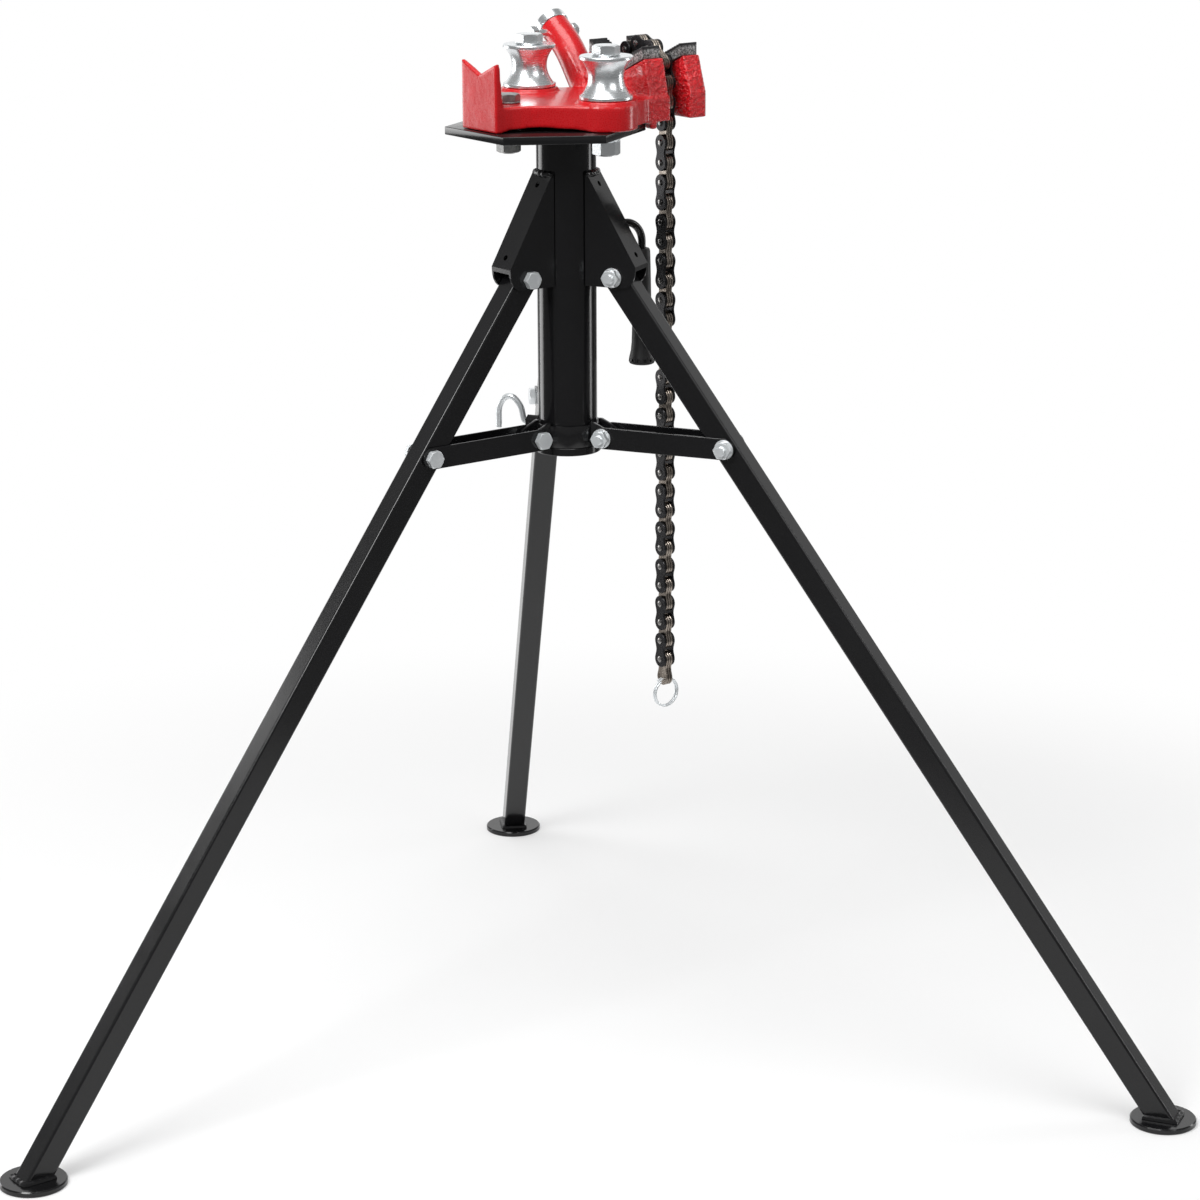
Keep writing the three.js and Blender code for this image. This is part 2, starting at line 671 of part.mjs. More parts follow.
// Socket: a neck that rises beside the base and leans outward to its mouth.
const lean = rad(SOCKET_LEAN);
const mouth = V3(SOCKET_X, SOCKET_TOP_Y, SOCKET_TOP_Z);
const mouthDir = V3(0, Math.sin(lean), Math.cos(lean));
function onMouth(geometry) {
  geometry.rotateX(-lean);
  geometry.translate(mouth.x, mouth.y, mouth.z);
  return geometry;
}
const socketBoltAt = mouth.clone().addScaledVector(mouthDir, -SOCKET_BOLT_BACK);
function socketBody() {
  const bend = mouth.clone().addScaledVector(mouthDir, -SOCKET_DEPTH);
  const rise = V3(SOCKET_X, SOCKET_Y, baseTop);
  const foot = rise.clone().add(rise.clone().sub(bend).setLength(SOCKET_D / 2));
  const curve = new THREE.CatmullRomCurve3([foot, rise, bend, mouth]);
  const root = new THREE.Shape();
  const w = SOCKET_D / 2;
  root.moveTo(SOCKET_X + w, TOWER_TOP_W / 2);
  root.lineTo(SOCKET_X + w, SOCKET_Y);
  root.absarc(SOCKET_X, SOCKET_Y, w, 0, Math.PI, false);
  root.lineTo(SOCKET_X - w, TOWER_TOP_W / 2);
  return solid(bar(curve, SOCKET_D / 2, 8, 14)).add(slab(root, baseZ, baseTop - PAD_H, 6));
}

function viseBody() {
  const pads = [-1, 1].map((s) => {
    const g = rodGeometry(PAD_R - PAD_STEP, baseTop - PAD_H, padTop, 20);
    g.translate(ROLLER_X, s * ROLLER_Y, 0);
    return solid(g);
  });
  const t = TOWER_FOOT_W / 2;
  const half = SLOT_WEB_W / 2;
  const high = vAt(t);
  const low = baseZ - BASE_H;
  const hollow = rodGeometry(UNDERCUT_R, -2 * t, 2 * t, 44);
  hollow.applyMatrix4(ALONG_Y);
  hollow.translate((REST_X + REST_FOOT_T + ROLLER_X - PAD_R) / 2, 0, baseZ + UNDERCUT_H - UNDERCUT_R);
  const hookX = TOWER_X + HOOK_BACK;
  const hook = box(hookX, hookX + HOOK_W, -t, -t + HOOK_L, baseZ - HOOK_DROP, baseZ + HOOK_L);
  const mouthBore = onMouth(rodGeometry(SOCKET_BORE / 2, -SOCKET_DEPTH, SOCKET_D, 14));
  const mouthTrim = onMouth(rodGeometry(SOCKET_D, 0, SOCKET_D, 8));
  const anchor = rodGeometry(ANCHOR_D / 2 + CLEAR, slot0 - TOWER_T / 2, slot1 + TOWER2_T / 2, 10);
  anchor.applyMatrix4(ALONG_X);
  anchor.translate(0, anchorPin.y, anchorPin.z);
  const crossBore = rodGeometry(M8.d / 2 + CLEAR, -SOCKET_D, SOCKET_D, 10);
  crossBore.applyMatrix4(ALONG_X);
  crossBore.translate(socketBoltAt.x, socketBoltAt.y, socketBoltAt.z);
  const body = join(
    slab(basePlan(), baseZ, baseTop, 7),
    ...pads,
    across(towerShape(TOWER_LEDGE), TOWER_X, slot0),
    across(towerShape(0), slot1, headEnd),
    restBody(),
    hook,
  );
  const opened = cut(
    body,
    box(slot0, slot1, -2 * t, -half, low, high),
    box(slot0, slot1, half, SLOT_FAR_Y, low, high),
    ...headBores(low, padTop + BASE_H),
    solid(hollow),
  );
  return cut(
    opened.add(cut(socketBody(), solid(mouthTrim))),
    solid(anchor),
    solid(mouthBore),
    solid(crossBore),
  );
}

// Chain pins: over the V from the far anchor, down the near side, then straight down.
const archStep = 2 * Math.asin(PITCH / 2 / ARCH_R);
const pins = [];
for (let i = ARCH_LINKS; i > 0; i -= 1) {
  const t = Math.PI - i * archStep;
  pins.push(V2(ARCH_Y + ARCH_R * Math.cos(t), ARCH_Z + ARCH_R * Math.sin(t)));
}
for (let i = 0; i <= HANG_LINKS + 1; i += 1) {
  pins.push(V2(ARCH_Y - ARCH_R, ARCH_Z - i * PITCH));
}
const anchorPin = V3(0, pins[0].x, pins[0].y);
piece(stand, 'vise_body', geometryOf(viseBody()), RED);

// Jaw: V block with teeth along the pipe's two contact slopes.
function jawShape() {
  const w = JAW_W / 2;
  const teeth = Math.floor((w - JAW_EDGE) / TOOTH_P);
  const slopeDown = [];
  for (let i = 0; i < teeth; i += 1) {
    const y = w - JAW_EDGE - i * TOOTH_P;
    slopeDown.push([y, vAt(y)]);
    slopeDown.push([y - TOOTH_P * 0.35, vAt(y - TOOTH_P * 0.35) - TOOTH_H]);
  }
  const mirrored = slopeDown.map(([y, z]) => [-y, z]).reverse();
  const base = (y) => vAt(y) - JAW_H;
  const edge = vAt(w - JAW_EDGE);
  return polygon([[w, base(w)], [w, edge], ...slopeDown, [0, VALLEY_Z - TOOTH_H],
    ...mirrored, [-w, edge], [-w, base(w)], [0, base(0)]]);
}
piece(stand, 'jaw_front', geometryOf(across(jawShape(), TOWER_X, TOWER_X + JAW_T)), JAW);
piece(stand, 'jaw_rear', geometryOf(across(jawShape(), jawRear, jawRear + JAW_T)), JAW);

// Rollers: spools that turn on the head bolts.
const rollerBore = M16.d / 2 + CLEAR;
function rollerGeometry() {
  const z0 = padTop + SEAT;
  const z1 = z0 + ROLLER_H;
  const mid = (z0 + z1) / 2;
  const rim = ROLLER_D / 2;
  const waist = ROLLER_WAIST / 2;
  const profile = [[rollerBore, z0], [rim, z0], [rim, z0 + ROLLER_RIM]];
  const span = ROLLER_H / 2 - ROLLER_RIM;
  for (let i = 0; i <= 4; i += 1) {
    const t = -1 + i / 2;
    profile.push([waist + (rim - ROLLER_STEP - waist) * t * t, mid + span * t]);
  }
  profile.push([rim, z1 - ROLLER_RIM], [rim, z1], [rollerBore, z1], [rollerBore, z0]);
  return turned(profile, 24);
}
piece(stand, 'roller_near', rollerGeometry(), ZINC).position.set(ROLLER_X, -ROLLER_Y, 0);
piece(stand, 'roller_far', rollerGeometry(), ZINC).position.set(ROLLER_X, ROLLER_Y, 0);

// Head bolts: heads on top, flanged nuts under the plate.
const rollerTop = padTop + SEAT + ROLLER_H;
for (const { name, m, x, y, top = rollerTop } of headBolts) {
  const grip = top - (PLATE_TOP_Z - PLATE_T);
  const g = geometryOf(boltSolid(m, grip));
  g.rotateX(Math.PI);
  g.translate(x, y, top);
  piece(stand, name, g, ZINC);
}

// Zinc sleeve in the socket's mouth and the bolt across it.
const spigot = SOCKET_BORE / 2 - CLEAR;
const sleeveBore = M8.d;
const sleeve = turned([
  [sleeveBore, -SOCKET_DEPTH + SEAT],
  [spigot, -SOCKET_DEPTH + SEAT],
  [spigot, SEAT],
  [SLEEVE_D / 2, SEAT],
  [SLEEVE_D / 2, SLEEVE_L - SLEEVE_EDGE],
  [SLEEVE_D / 2 - SLEEVE_EDGE, SLEEVE_L],
  [sleeveBore, SLEEVE_L],
  [sleeveBore, -SOCKET_DEPTH + SEAT],
], 18);
const sleeveHole = rodGeometry(M8.d / 2 + CLEAR, -SOCKET_D, SOCKET_D, 10);
sleeveHole.applyMatrix4(ALONG_X);
sleeveHole.translate(0, 0, -SOCKET_BOLT_BACK);
const sleeveGeometry = onMouth(geometryOf(cut(solid(sleeve), solid(sleeveHole))));
piece(stand, 'socket_sleeve', sleeveGeometry, ZINC);
const crossGrip = SOCKET_D + 2 * SEAT + SOCKET_BOLT_STAND;
const cross = geometryOf(boltSolid(M8, crossGrip));
cross.applyMatrix4(ALONG_X);
cross.translate(socketBoltAt.x - SOCKET_D / 2 - SEAT - SOCKET_BOLT_STAND, socketBoltAt.y, socketBoltAt.z);
piece(stand, 'socket_bolt', cross, ZINC);

// Chain link plate: two round lobes and a waist, in the Y-Z plane.
function linkShape(a, b, hole) {
  const dir = b.clone().sub(a).normalize();
  const side = V2(-dir.y, dir.x);
  const at = (base, along, off) => {
    const p = base.clone().addScaledVector(dir, along).addScaledVector(side, off);
    return [p.x, p.y];
  };
  const points = [];
  for (const deg of [-66, -22, 22, 66]) {
    points.push(at(b, LOBE_R * Math.cos(rad(deg)), LOBE_R * Math.sin(rad(deg))));
  }
  points.push(at(a, PITCH / 2, WAIST_R));
  for (const deg of [114, 158, 202, 246]) {
    points.push(at(a, LOBE_R * Math.cos(rad(deg)), LOBE_R * Math.sin(rad(deg))));
  }
  points.push(at(a, PITCH / 2, -WAIST_R));
  const shape = polygon(points);
  if (hole) {
    const ring = [];
    for (let i = 0; i < 6; i += 1) {
      const t = -(2 * Math.PI * i) / 6;
      ring.push(V2(hole.at.x + hole.r * Math.cos(t), hole.at.y + hole.r * Math.sin(t)));
    }
    shape.holes.push(new THREE.Path(ring));
  }
  return shape;
}

function rivet(p) {
  const reach = LEAF_W / 2 + CHAIN_GAP + SIDE_T + RIVET_HEAD;
  const g = rodGeometry(RIVET_D / 2, -reach, reach, 6);
  g.applyMatrix4(ALONG_X);
  g.translate(chainX, p.x, p.y);
  return solid(g);
}

// One leaf link hung on the pin above, then one riveted side-plate link.
const pinHole = (RIVET_D / 2 + CLEAR) / Math.cos(Math.PI / 6);
const ringHole = RING_WIRE * 2;
function linkPair(k, last) {
  const [p, q, r] = [pins[2 * k], pins[2 * k + 1], pins[2 * k + 2]];
  const leaf = LEAF_W / 2;
  const gap = leaf + CHAIN_GAP;
  let body = across(linkShape(p, q, { at: p, r: pinHole }), chainX - leaf, chainX + leaf);
  for (const s of [-1, 1]) {
    const x = s < 0 ? chainX - gap - SIDE_T : chainX + gap;
    body = body.add(across(linkShape(q, r), x, x + SIDE_T));
  }
  body = join(body, rivet(q), rivet(r));
  if (last) {
    const end = pins[2 * k + 3];
    body = body.add(across(linkShape(r, end, { at: end, r: ringHole }), chainX - leaf, chainX + leaf));
  }
  return body;
}
const pairs = (ARCH_LINKS + HANG_LINKS) / 2;
for (let k = 0; k < pairs; k += 1) {
  const name = `chain_${String(k + 1).padStart(2, '0')}`;
  piece(stand, name, geometryOf(linkPair(k, k === pairs - 1)), STEEL);
}

// Anchor pin across the slot on the far side.
const anchorLength = slot1 + TOWER2_T / 2 - slot0 + TOWER_T / 2 - 2 * SEAT;
const anchorGeometry = rodGeometry(ANCHOR_D / 2, 0, anchorLength, 10);
anchorGeometry.applyMatrix4(ALONG_X);
anchorGeometry.translate(slot0 - TOWER_T / 2 + SEAT, anchorPin.y, anchorPin.z);
piece(stand, 'chain_anchor_pin', anchorGeometry, ZINC);

// Split ring: one wire wound in two turns through the end link.
const endPin = pins[pins.length - 1];
const ringZ = endPin.y - RING_WIRE * 0.55 - RING_R;
class RingCurve extends THREE.Curve {
  getPoint(t, target = V3(0, 0, 0)) {
    const a = 2 * Math.PI * RING_TURNS * t + Math.PI / 2 + 0.6;
    const y = RING_STEP * (RING_TURNS * t - RING_TURNS / 2 - 0.4);
    return target.set(RING_R * Math.cos(a), y, RING_R * Math.sin(a));
  }
}
const ringCurve = new RingCurve();
function leastGap(curve, wire, turns) {
  const n = 48 * turns;
  const pts = curve.getPoints(n);
  let least = Infinity;
  for (let i = 0; i <= n; i += 1) {
    for (let j = i + 24; j <= n; j += 1) {
      least = Math.min(least, pts[i].distanceTo(pts[j]) - wire);
    }
  }
  return least;
}
const ringGap = leastGap(ringCurve, RING_WIRE, RING_TURNS);
console.log(`split ring: least gap between turns ${ringGap.toFixed(2)} mm`);
const ringMesh = piece(stand, 'split_ring', bar(ringCurve, RING_WIRE / 2, 24 * RING_TURNS, 6), ZINC);
ringMesh.position.set(chainX, endPin.x, ringZ);

// The origin is on the floor, in the middle of the feet's outline.
const reach = Math.cos(LEG_ANGLES.b);
stand.position.x = (FOOT_R + FOOT_D / 2 - FOOT_R * reach - FOOT_D / 2) / 2;

export default stand;
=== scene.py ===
# %% [markdown]
# # A folding pipe vise stand
# The stand is a steel tripod with a red cast vise on top. A chain goes over the pipe and pulls it
# down into two toothed jaws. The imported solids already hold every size, so this lesson loads them
# first and then dresses them: round pieces are spun again with more steps, sheet edges are softened,
# the casting is smoothed as a sand casting is, and every surface gets a procedural finish.

import math

import bmesh
import bpy
from mathutils import Matrix, Vector


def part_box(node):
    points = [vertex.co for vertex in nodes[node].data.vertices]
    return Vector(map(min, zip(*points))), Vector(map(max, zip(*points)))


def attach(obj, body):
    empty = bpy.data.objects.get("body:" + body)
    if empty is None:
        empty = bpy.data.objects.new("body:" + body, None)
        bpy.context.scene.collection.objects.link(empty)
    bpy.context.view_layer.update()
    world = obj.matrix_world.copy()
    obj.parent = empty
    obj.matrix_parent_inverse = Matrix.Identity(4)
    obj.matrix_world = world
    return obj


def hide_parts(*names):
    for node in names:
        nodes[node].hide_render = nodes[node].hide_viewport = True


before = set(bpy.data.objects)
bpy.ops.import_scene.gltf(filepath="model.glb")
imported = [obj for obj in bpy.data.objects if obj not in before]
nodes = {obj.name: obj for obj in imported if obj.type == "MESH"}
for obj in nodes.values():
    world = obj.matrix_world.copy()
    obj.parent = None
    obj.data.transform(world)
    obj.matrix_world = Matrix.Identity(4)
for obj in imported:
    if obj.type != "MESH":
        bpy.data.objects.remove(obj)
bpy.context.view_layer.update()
scene = bpy.context.scene
scene.view_settings.view_transform = "Standard"
MM = 0.001

# %% [markdown]
# ## Where the camera stands
# The photograph was taken from the front left, a little above the vise, with a long lens. The column
# is the middle of everything that turns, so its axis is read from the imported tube.

# %% Camera
CAMERA_AT = (-1.8915, -2.7896, 1.4382)
HEADING, DOWNWARD, ROLL = math.radians(-36.87), 0.272, -0.004
tube_low, tube_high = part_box("column_tube")
AXIS = Vector(((tube_low.x + tube_high.x) / 2, 0, 0))
camera_data = bpy.data.cameras.new("camera")
camera_data.sensor_width = 36
camera_data.lens = 104.63
camera = bpy.data.objects.new("camera", camera_data)
scene.collection.objects.link(camera)
camera.matrix_world = (
    Matrix.Translation(CAMERA_AT)
    @ Matrix.Rotation(HEADING, 4, "Z")
    @ Matrix.Rotation(math.pi / 2 - DOWNWARD, 4, "X")
    @ Matrix.Rotation(ROLL, 4, "Z")
)
scene.camera = camera
print("column axis at", [round(v, 4) for v in AXIS])

# %% [markdown]
# ## Shader maths as plain expressions
# A finish is a small sum of noises and masks. Written with nodes alone it is hard to read, so one
# class wraps a socket and turns Python's operators into Math nodes. A second class owns a material
# and adds any other node through one method.

# %% Socket maths
class Value:
    """A shader socket that can be added, subtracted and scaled in Python."""

    def __init__(self, tree, socket):
        self.tree = tree
        self.socket = socket

    def combine(self, operation, first, second):
        math_node = self.tree.nodes.new("ShaderNodeMath")
        math_node.operation = operation
        for slot, item in zip(math_node.inputs, (first, second)):
            if isinstance(item, Value):
                self.tree.links.new(item.socket, slot)
            else:
                slot.default_value = item
        return Value(self.tree, math_node.outputs[0])

    def __add__(self, other):
        return self.combine("ADD", self, other)

    def __radd__(self, other):
        return self.combine("ADD", other, self)

    def __sub__(self, other):
        return self.combine("SUBTRACT", self, other)

    def __rsub__(self, other):
        return self.combine("SUBTRACT", other, self)

    def __mul__(self, other):
        return self.combine("MULTIPLY", self, other)

    def __rmul__(self, other):
        return self.combine("MULTIPLY", other, self)

    def at_least(self, other):
        return self.combine("MAXIMUM", self, other)


class Finish:
    """A material with one Principled shader; constants sit on its own sockets."""

    def __init__(self, name, **constants):
        self.material = bpy.data.materials.new(name)
        self.material.use_nodes = True
        self.tree = self.material.node_tree
        self.shader = self.tree.nodes["Principled BSDF"]
        for socket, value in constants.items():
            self.shader.inputs[socket.replace("_", " ")].default_value = value

    def add(self, kind, output=0, settings=None, **inputs):
        """Add a node. Inputs go in by name, with _ for a space, or by number as i0, i1 and so on."""
        node = self.tree.nodes.new(kind)
        for name, value in (settings or {}).items():
            setattr(node, name, value)
        for name, value in inputs.items():
            numbered = name[0] == "i" and name[1:].isdigit()
            slot = node.inputs[int(name[1:]) if numbered else name.replace("_", " ")]
            if isinstance(value, Value):
                self.tree.links.new(value.socket, slot)
            else:
                slot.default_value = value
        return Value(self.tree, node.outputs[output])

    def place(self):
        return self.add("ShaderNodeTexCoord", output="Object")

    def vector(self, operation, first, second, output=0):
        return self.add("ShaderNodeVectorMath", output, {"operation": operation},
                        i0=first, i1=tuple(second))

    def noise(self, scale, detail=2.0, rough=0.5, vector=None):
        return self.add("ShaderNodeTexNoise", output="Fac", Vector=vector or self.place(),
                        Scale=scale, Detail=detail, Roughness=rough)

    def band(self, value, low, high, to_low=0.0, to_high=1.0):
        return self.add("ShaderNodeMapRange", settings={"interpolation_type": "SMOOTHSTEP"},
                        Value=value, From_Min=low, From_Max=high, To_Min=to_low, To_Max=to_high)

    def tint(self, factor, first, second):
        return self.add("ShaderNodeMix", output=2, settings={"data_type": "RGBA"},
                        i0=factor, i6=first, i7=second)

    def bump(self, height, strength, distance):
        return self.add("ShaderNodeBump", Height=height, Strength=strength, Distance=distance)

    def feed(self, **values):
        for socket, value in values.items():
            self.tree.links.new(value.socket, self.shader.inputs[socket.replace("_", " ")])


def rgb(red, green, blue):
    return (red, green, blue, 1.0)


# %% [markdown]
# ## Black powder coat
# Powder coat is melted plastic on steel. It is glossy, but close up it has the ripple of orange peel,
# and handling leaves it a little duller in patches. One fine noise bends the normal and one broad
# noise varies colour and roughness.

# %% Powder coat
def make_powder_coat():
    coat = Finish("powder_coat", IOR=1.5, Specular_IOR_Level=0.40)
    patches = coat.noise(scale=14.0, detail=3.0, rough=0.6)
    peel = coat.noise(scale=620.0)
    colour = coat.tint(patches, rgb(0.0045, 0.0045, 0.0050), rgb(0.0085, 0.0085, 0.0092))
    coat.feed(Base_Color=colour, Roughness=0.10 + patches * 0.10 + peel * 0.04,
              Normal=coat.bump(peel, strength=0.06, distance=0.0004))
    return coat.material


powder_coat = make_powder_coat()
print("finish", powder_coat.name)

# %% [markdown]
# ## Red paint on a sand casting
# The towers keep the grain of the sand mould under the paint, while the base, the V rest and the
# leaning neck were ground smoother. The mask comes from the place along and across the pipe, so the
# grain fades in where the towers begin. The hollows of the grain and lumps are painted a darker red,
# as painted shade.

# %% Red paint
def make_red_paint():
    paint = Finish("red_paint", IOR=1.5, Specular_IOR_Level=0.45, Coat_Roughness=0.08)
    place = paint.place()
    along_pipe = paint.add("ShaderNodeSeparateXYZ", output="X", Vector=place)
    sideways = paint.add("ShaderNodeSeparateXYZ", output="Y", Vector=place)
    on_towers = paint.band(along_pipe, AXIS.x + 0.050, AXIS.x + 0.064, to_low=0.03)
    off_neck = paint.band(sideways, 0.052, 0.064, to_low=1.0, to_high=0.12)
    grain_mask = on_towers * off_neck
    grain = paint.noise(scale=240.0, detail=3.0)
    lumps = paint.noise(scale=40.0)
    fine = paint.noise(scale=900.0)
    height = grain_mask * grain * 1.7 + lumps * 0.22 + fine * 0.02
    # painted shade: the low spots of the grain and lumps get a darker red
    hollow_shade = paint.band(lumps * 0.6 + grain * grain_mask * 0.4, 0.25, 0.75)
    colour = paint.tint(hollow_shade, rgb(0.50, 0.0035, 0.007), rgb(0.70, 0.0075, 0.014))
    paint.feed(Base_Color=colour, Roughness=0.25 - grain_mask * 0.08 + fine * 0.06,
               Coat_Weight=0.35 + grain_mask * 0.20,
               Normal=paint.bump(height, strength=1.0, distance=0.0030))
    return paint.material


red_paint = make_red_paint()
print("finish", red_paint.name)

# %% [markdown]
# ## Zinc plate
# Bolts, rollers and wire are bright zinc. The plating is a satin metal with a faint blue cast. On small
# bolts and wire its crystals scatter part of the light, so those are only partly metallic, while the
# bolts of the rollers and the socket shine more. Turned pieces keep fine rings from the lathe: a noise
# stretched flat along the height, so one maker serves all.

# %% Zinc
def make_zinc(name, metallic, ring_scale, ring_strength, dull):
    zinc = Finish(name, Metallic=metallic)
    stretched = zinc.add("ShaderNodeMapping", Vector=zinc.place(), Scale=(9.0, 9.0, ring_scale))
    rings = zinc.noise(scale=1.0, rough=0.6, vector=stretched)
    cloud = zinc.noise(scale=60.0, detail=3.0, rough=0.6)
    colour = zinc.tint(cloud, rgb(0.70, 0.74, 0.76), rgb(0.88, 0.90, 0.91))
    zinc.feed(Base_Color=colour, Roughness=dull + cloud * 0.10 + rings * 0.08,
              Normal=zinc.bump(rings, ring_strength, distance=0.0003))
    return zinc.material


zinc_plain = make_zinc("zinc_plain", metallic=0.58, ring_scale=300.0, ring_strength=0.0, dull=0.24)
zinc_turned = make_zinc("zinc_turned", metallic=0.95, ring_scale=1900.0, ring_strength=0.10, dull=0.18)
zinc_bright = make_zinc("zinc_bright", metallic=0.97, ring_scale=300.0, ring_strength=0.0, dull=0.14)
print("finishes", [m.name for m in (zinc_plain, zinc_turned, zinc_bright)])

# %% [markdown]
# ## Chain steel, bare bolt steel and rubber
# The chain's side plates are blued black, its inner leaves show browner oiled steel and its rivets
# are worn bright. The bolt beside the V rest is bare steel. The grip is moulded rubber. All are one
# recipe with different colours, sheen and grain.

# %% Dark steels and rubber
def make_dark(name, low, high, metallic, dull, grain_scale, grain_strength):
    steel = Finish(name, Metallic=metallic)
    cloud = steel.noise(scale=90.0, detail=3.0, rough=0.6)
    grain = steel.noise(grain_scale, detail=3.0, rough=0.6)
    mixed = steel.band(cloud * 0.6 + grain * 0.4, 0.3, 0.7)
    steel.feed(Base_Color=steel.tint(mixed, low, high), Roughness=dull + grain * 0.16,
               Normal=steel.bump(grain, grain_strength, distance=0.0006))
    return steel.material


side_steel = make_dark("side_steel", rgb(0.012, 0.012, 0.014), rgb(0.030, 0.029, 0.030),
                       metallic=0.75, dull=0.20, grain_scale=700.0, grain_strength=0.12)
leaf_steel = make_dark("leaf_steel", rgb(0.13, 0.108, 0.090), rgb(0.42, 0.37, 0.32),
                       metallic=1.0, dull=0.20, grain_scale=700.0, grain_strength=0.10)
rivet_steel = make_dark("rivet_steel", rgb(0.16, 0.155, 0.15), rgb(0.36, 0.35, 0.34),
                        metallic=1.0, dull=0.18, grain_scale=500.0, grain_strength=0.06)
bolt_steel = make_dark("bolt_steel", rgb(0.20, 0.20, 0.20), rgb(0.40, 0.40, 0.39),
                       metallic=0.85, dull=0.28, grain_scale=500.0, grain_strength=0.06)
rubber = make_dark("rubber", rgb(0.010, 0.010, 0.011), rgb(0.022, 0.022, 0.023),
                   metallic=0.0, dull=0.42, grain_scale=800.0, grain_strength=0.10)
print("finishes", [m.name for m in (side_steel, leaf_steel, rivet_steel, bolt_steel, rubber)])

# %% [markdown]
# ## Jaw steel
# A jaw is a block of tool steel. Its ends are ground grey and speckled with scale, while the teeth
# along the V are left black from hardening. The V's slope is known, so the depth below that slope
# tells the shader how far the black teeth reach.

# %% Jaw steel
V_LOW, V_SLOPE = 1.020, math.tan(math.radians(24))


def make_jaw_steel():
    steel = Finish("toothed_steel", Metallic=0.35)
    place = steel.place()
    height = steel.add("ShaderNodeSeparateXYZ", output="Z", Vector=place)
    across = steel.add("ShaderNodeSeparateXYZ", output="Y", Vector=place)
    under_v = V_LOW + across.at_least(-1.0 * across) * V_SLOPE - height
    black = steel.band(under_v, 0.0025, 0.0050, to_low=1.0, to_high=0.0)
    specks = steel.band(steel.noise(scale=520.0, detail=4.0, rough=0.7), 0.42, 0.60)
    ground = steel.tint(specks, rgb(0.055, 0.055, 0.056), rgb(0.42, 0.415, 0.41))
    steel.feed(Base_Color=steel.tint(black, ground, rgb(0.014, 0.014, 0.015)),
               Roughness=0.36 + specks * 0.14, Normal=steel.bump(specks, strength=0.30, distance=0.0005))
    return steel.material


toothed_steel = make_jaw_steel()
print("finish", toothed_steel.name)

# %% [markdown]
# ## From a bmesh to a finished piece
# Every new piece ends the same way: doubles are merged, normals are pointed outward, faces are shaded
# smooth with sharp edges kept, and the piece rides on its body and, if it has a solid, stands for it.

# %% Finishing helper
made_pieces = []


def settle(bm, name, body, finishes, stands_for=(), sharp=32, flat=False):
    bmesh.ops.remove_doubles(bm, verts=bm.verts, dist=1e-6)
    bmesh.ops.recalc_face_normals(bm, faces=bm.faces)
    mesh = bpy.data.meshes.new(name)
    bm.to_mesh(mesh)
    bm.free()
    mesh.shade_smooth()
    mesh.set_sharp_from_angle(angle=math.radians(sharp))
    for finish in finishes:
        mesh.materials.append(finish)
    piece = bpy.data.objects.new(name, mesh)
    scene.collection.objects.link(piece)
    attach(piece, body)
    if stands_for:
        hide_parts(*stands_for)
    if flat:
        even = piece.modifiers.new("flat_faces", "WEIGHTED_NORMAL")
        even.weight = 100
        even.keep_sharp = True
    made_pieces.append(piece)


def spun(bm, profile, steps):
    """Revolve a profile of (radius, height) in millimetres about Z."""
    verts = [bm.verts.new((r * MM, 0, z * MM)) for r, z in profile]
    edges = [bm.edges.new(pair) for pair in zip(verts, verts[1:])]
    bmesh.ops.spin(bm, geom=verts + edges, cent=(0, 0, 0), axis=(0, 0, 1),
                   angle=2 * math.pi, steps=steps, use_merge=True, use_duplicate=False)
    bmesh.ops.remove_doubles(bm, verts=bm.verts, dist=1e-7)


def shift(bm, offset, matrix=None):
    """Turn the whole bmesh by the matrix, if there is one, then carry it by the offset."""
    move = Matrix.Translation(offset) @ (matrix or Matrix.Identity(4))
    bmesh.ops.transform(bm, matrix=move, verts=bm.verts)


def rotate(bm, angle, axis):
    bmesh.ops.rotate(bm, cent=(0, 0, 0), matrix=Matrix.Rotation(angle, 3, axis), verts=bm.verts)


LEGS = {"a": 180, "b": -60, "c": 60}


def to_leg(bm, key):
    """Carry a piece drawn on +X, with the column at the origin, to its place at one of the legs."""
    shift(bm, AXIS, Matrix.Rotation(math.radians(LEGS[key]), 4, "Z"))


# %% [markdown]
# ## Light
# The stand is lit like a packshot. White paper hangs behind it and lies under it, and the room on the
# camera's side is a dim grey, so that black paint stays black and bright metal has something darker to
# mirror. One soft box stands low at the back left, where only the rounded left edges mirror it, and one
# hangs above. A thin one behind draws the right edges. Two small ones, set high at the front where
# upright faces don't mirror them, light the red casting and fill the shadows.

# %% Lamps
TO_CAMERA = Vector((-0.6, -0.8, 0))
LEFT = Vector((-0.8, 0.6, 0))
UP = Vector((0, 0, 1))
middle = AXIS + UP * 0.6


def soft_box(name, place, size, power):
    lamp = bpy.data.lights.new(name, "AREA")
    lamp.shape = "RECTANGLE"
    lamp.size, lamp.size_y = size
    lamp.energy = power
    holder = bpy.data.objects.new(name, lamp)
    holder.location = place
    holder.rotation_euler = (middle - place).to_track_quat("-Z", "Y").to_euler()
    scene.collection.objects.link(holder)


soft_box("left_box", middle + LEFT * 2.15 - TO_CAMERA * 1.25 + UP * 0.05, (1.1, 1.5), 20)
soft_box("front_box", middle + LEFT * 1.2 + TO_CAMERA * 1.6 + UP * 1.6, (0.9, 0.9), 37)
soft_box("top_box", middle + TO_CAMERA * 0.5 + LEFT * 0.3 + UP * 2.4, (1.8, 1.4), 40)
soft_box("edge_box", middle - LEFT * 2.5 - TO_CAMERA * 0.6 + UP * 0.3, (0.4, 2.2), 14)
soft_box("fill_box", middle - LEFT * 1.6 + TO_CAMERA * 1.7 + UP * 1.5, (1.2, 0.9), 10)
print("lamps", len(bpy.data.lights))

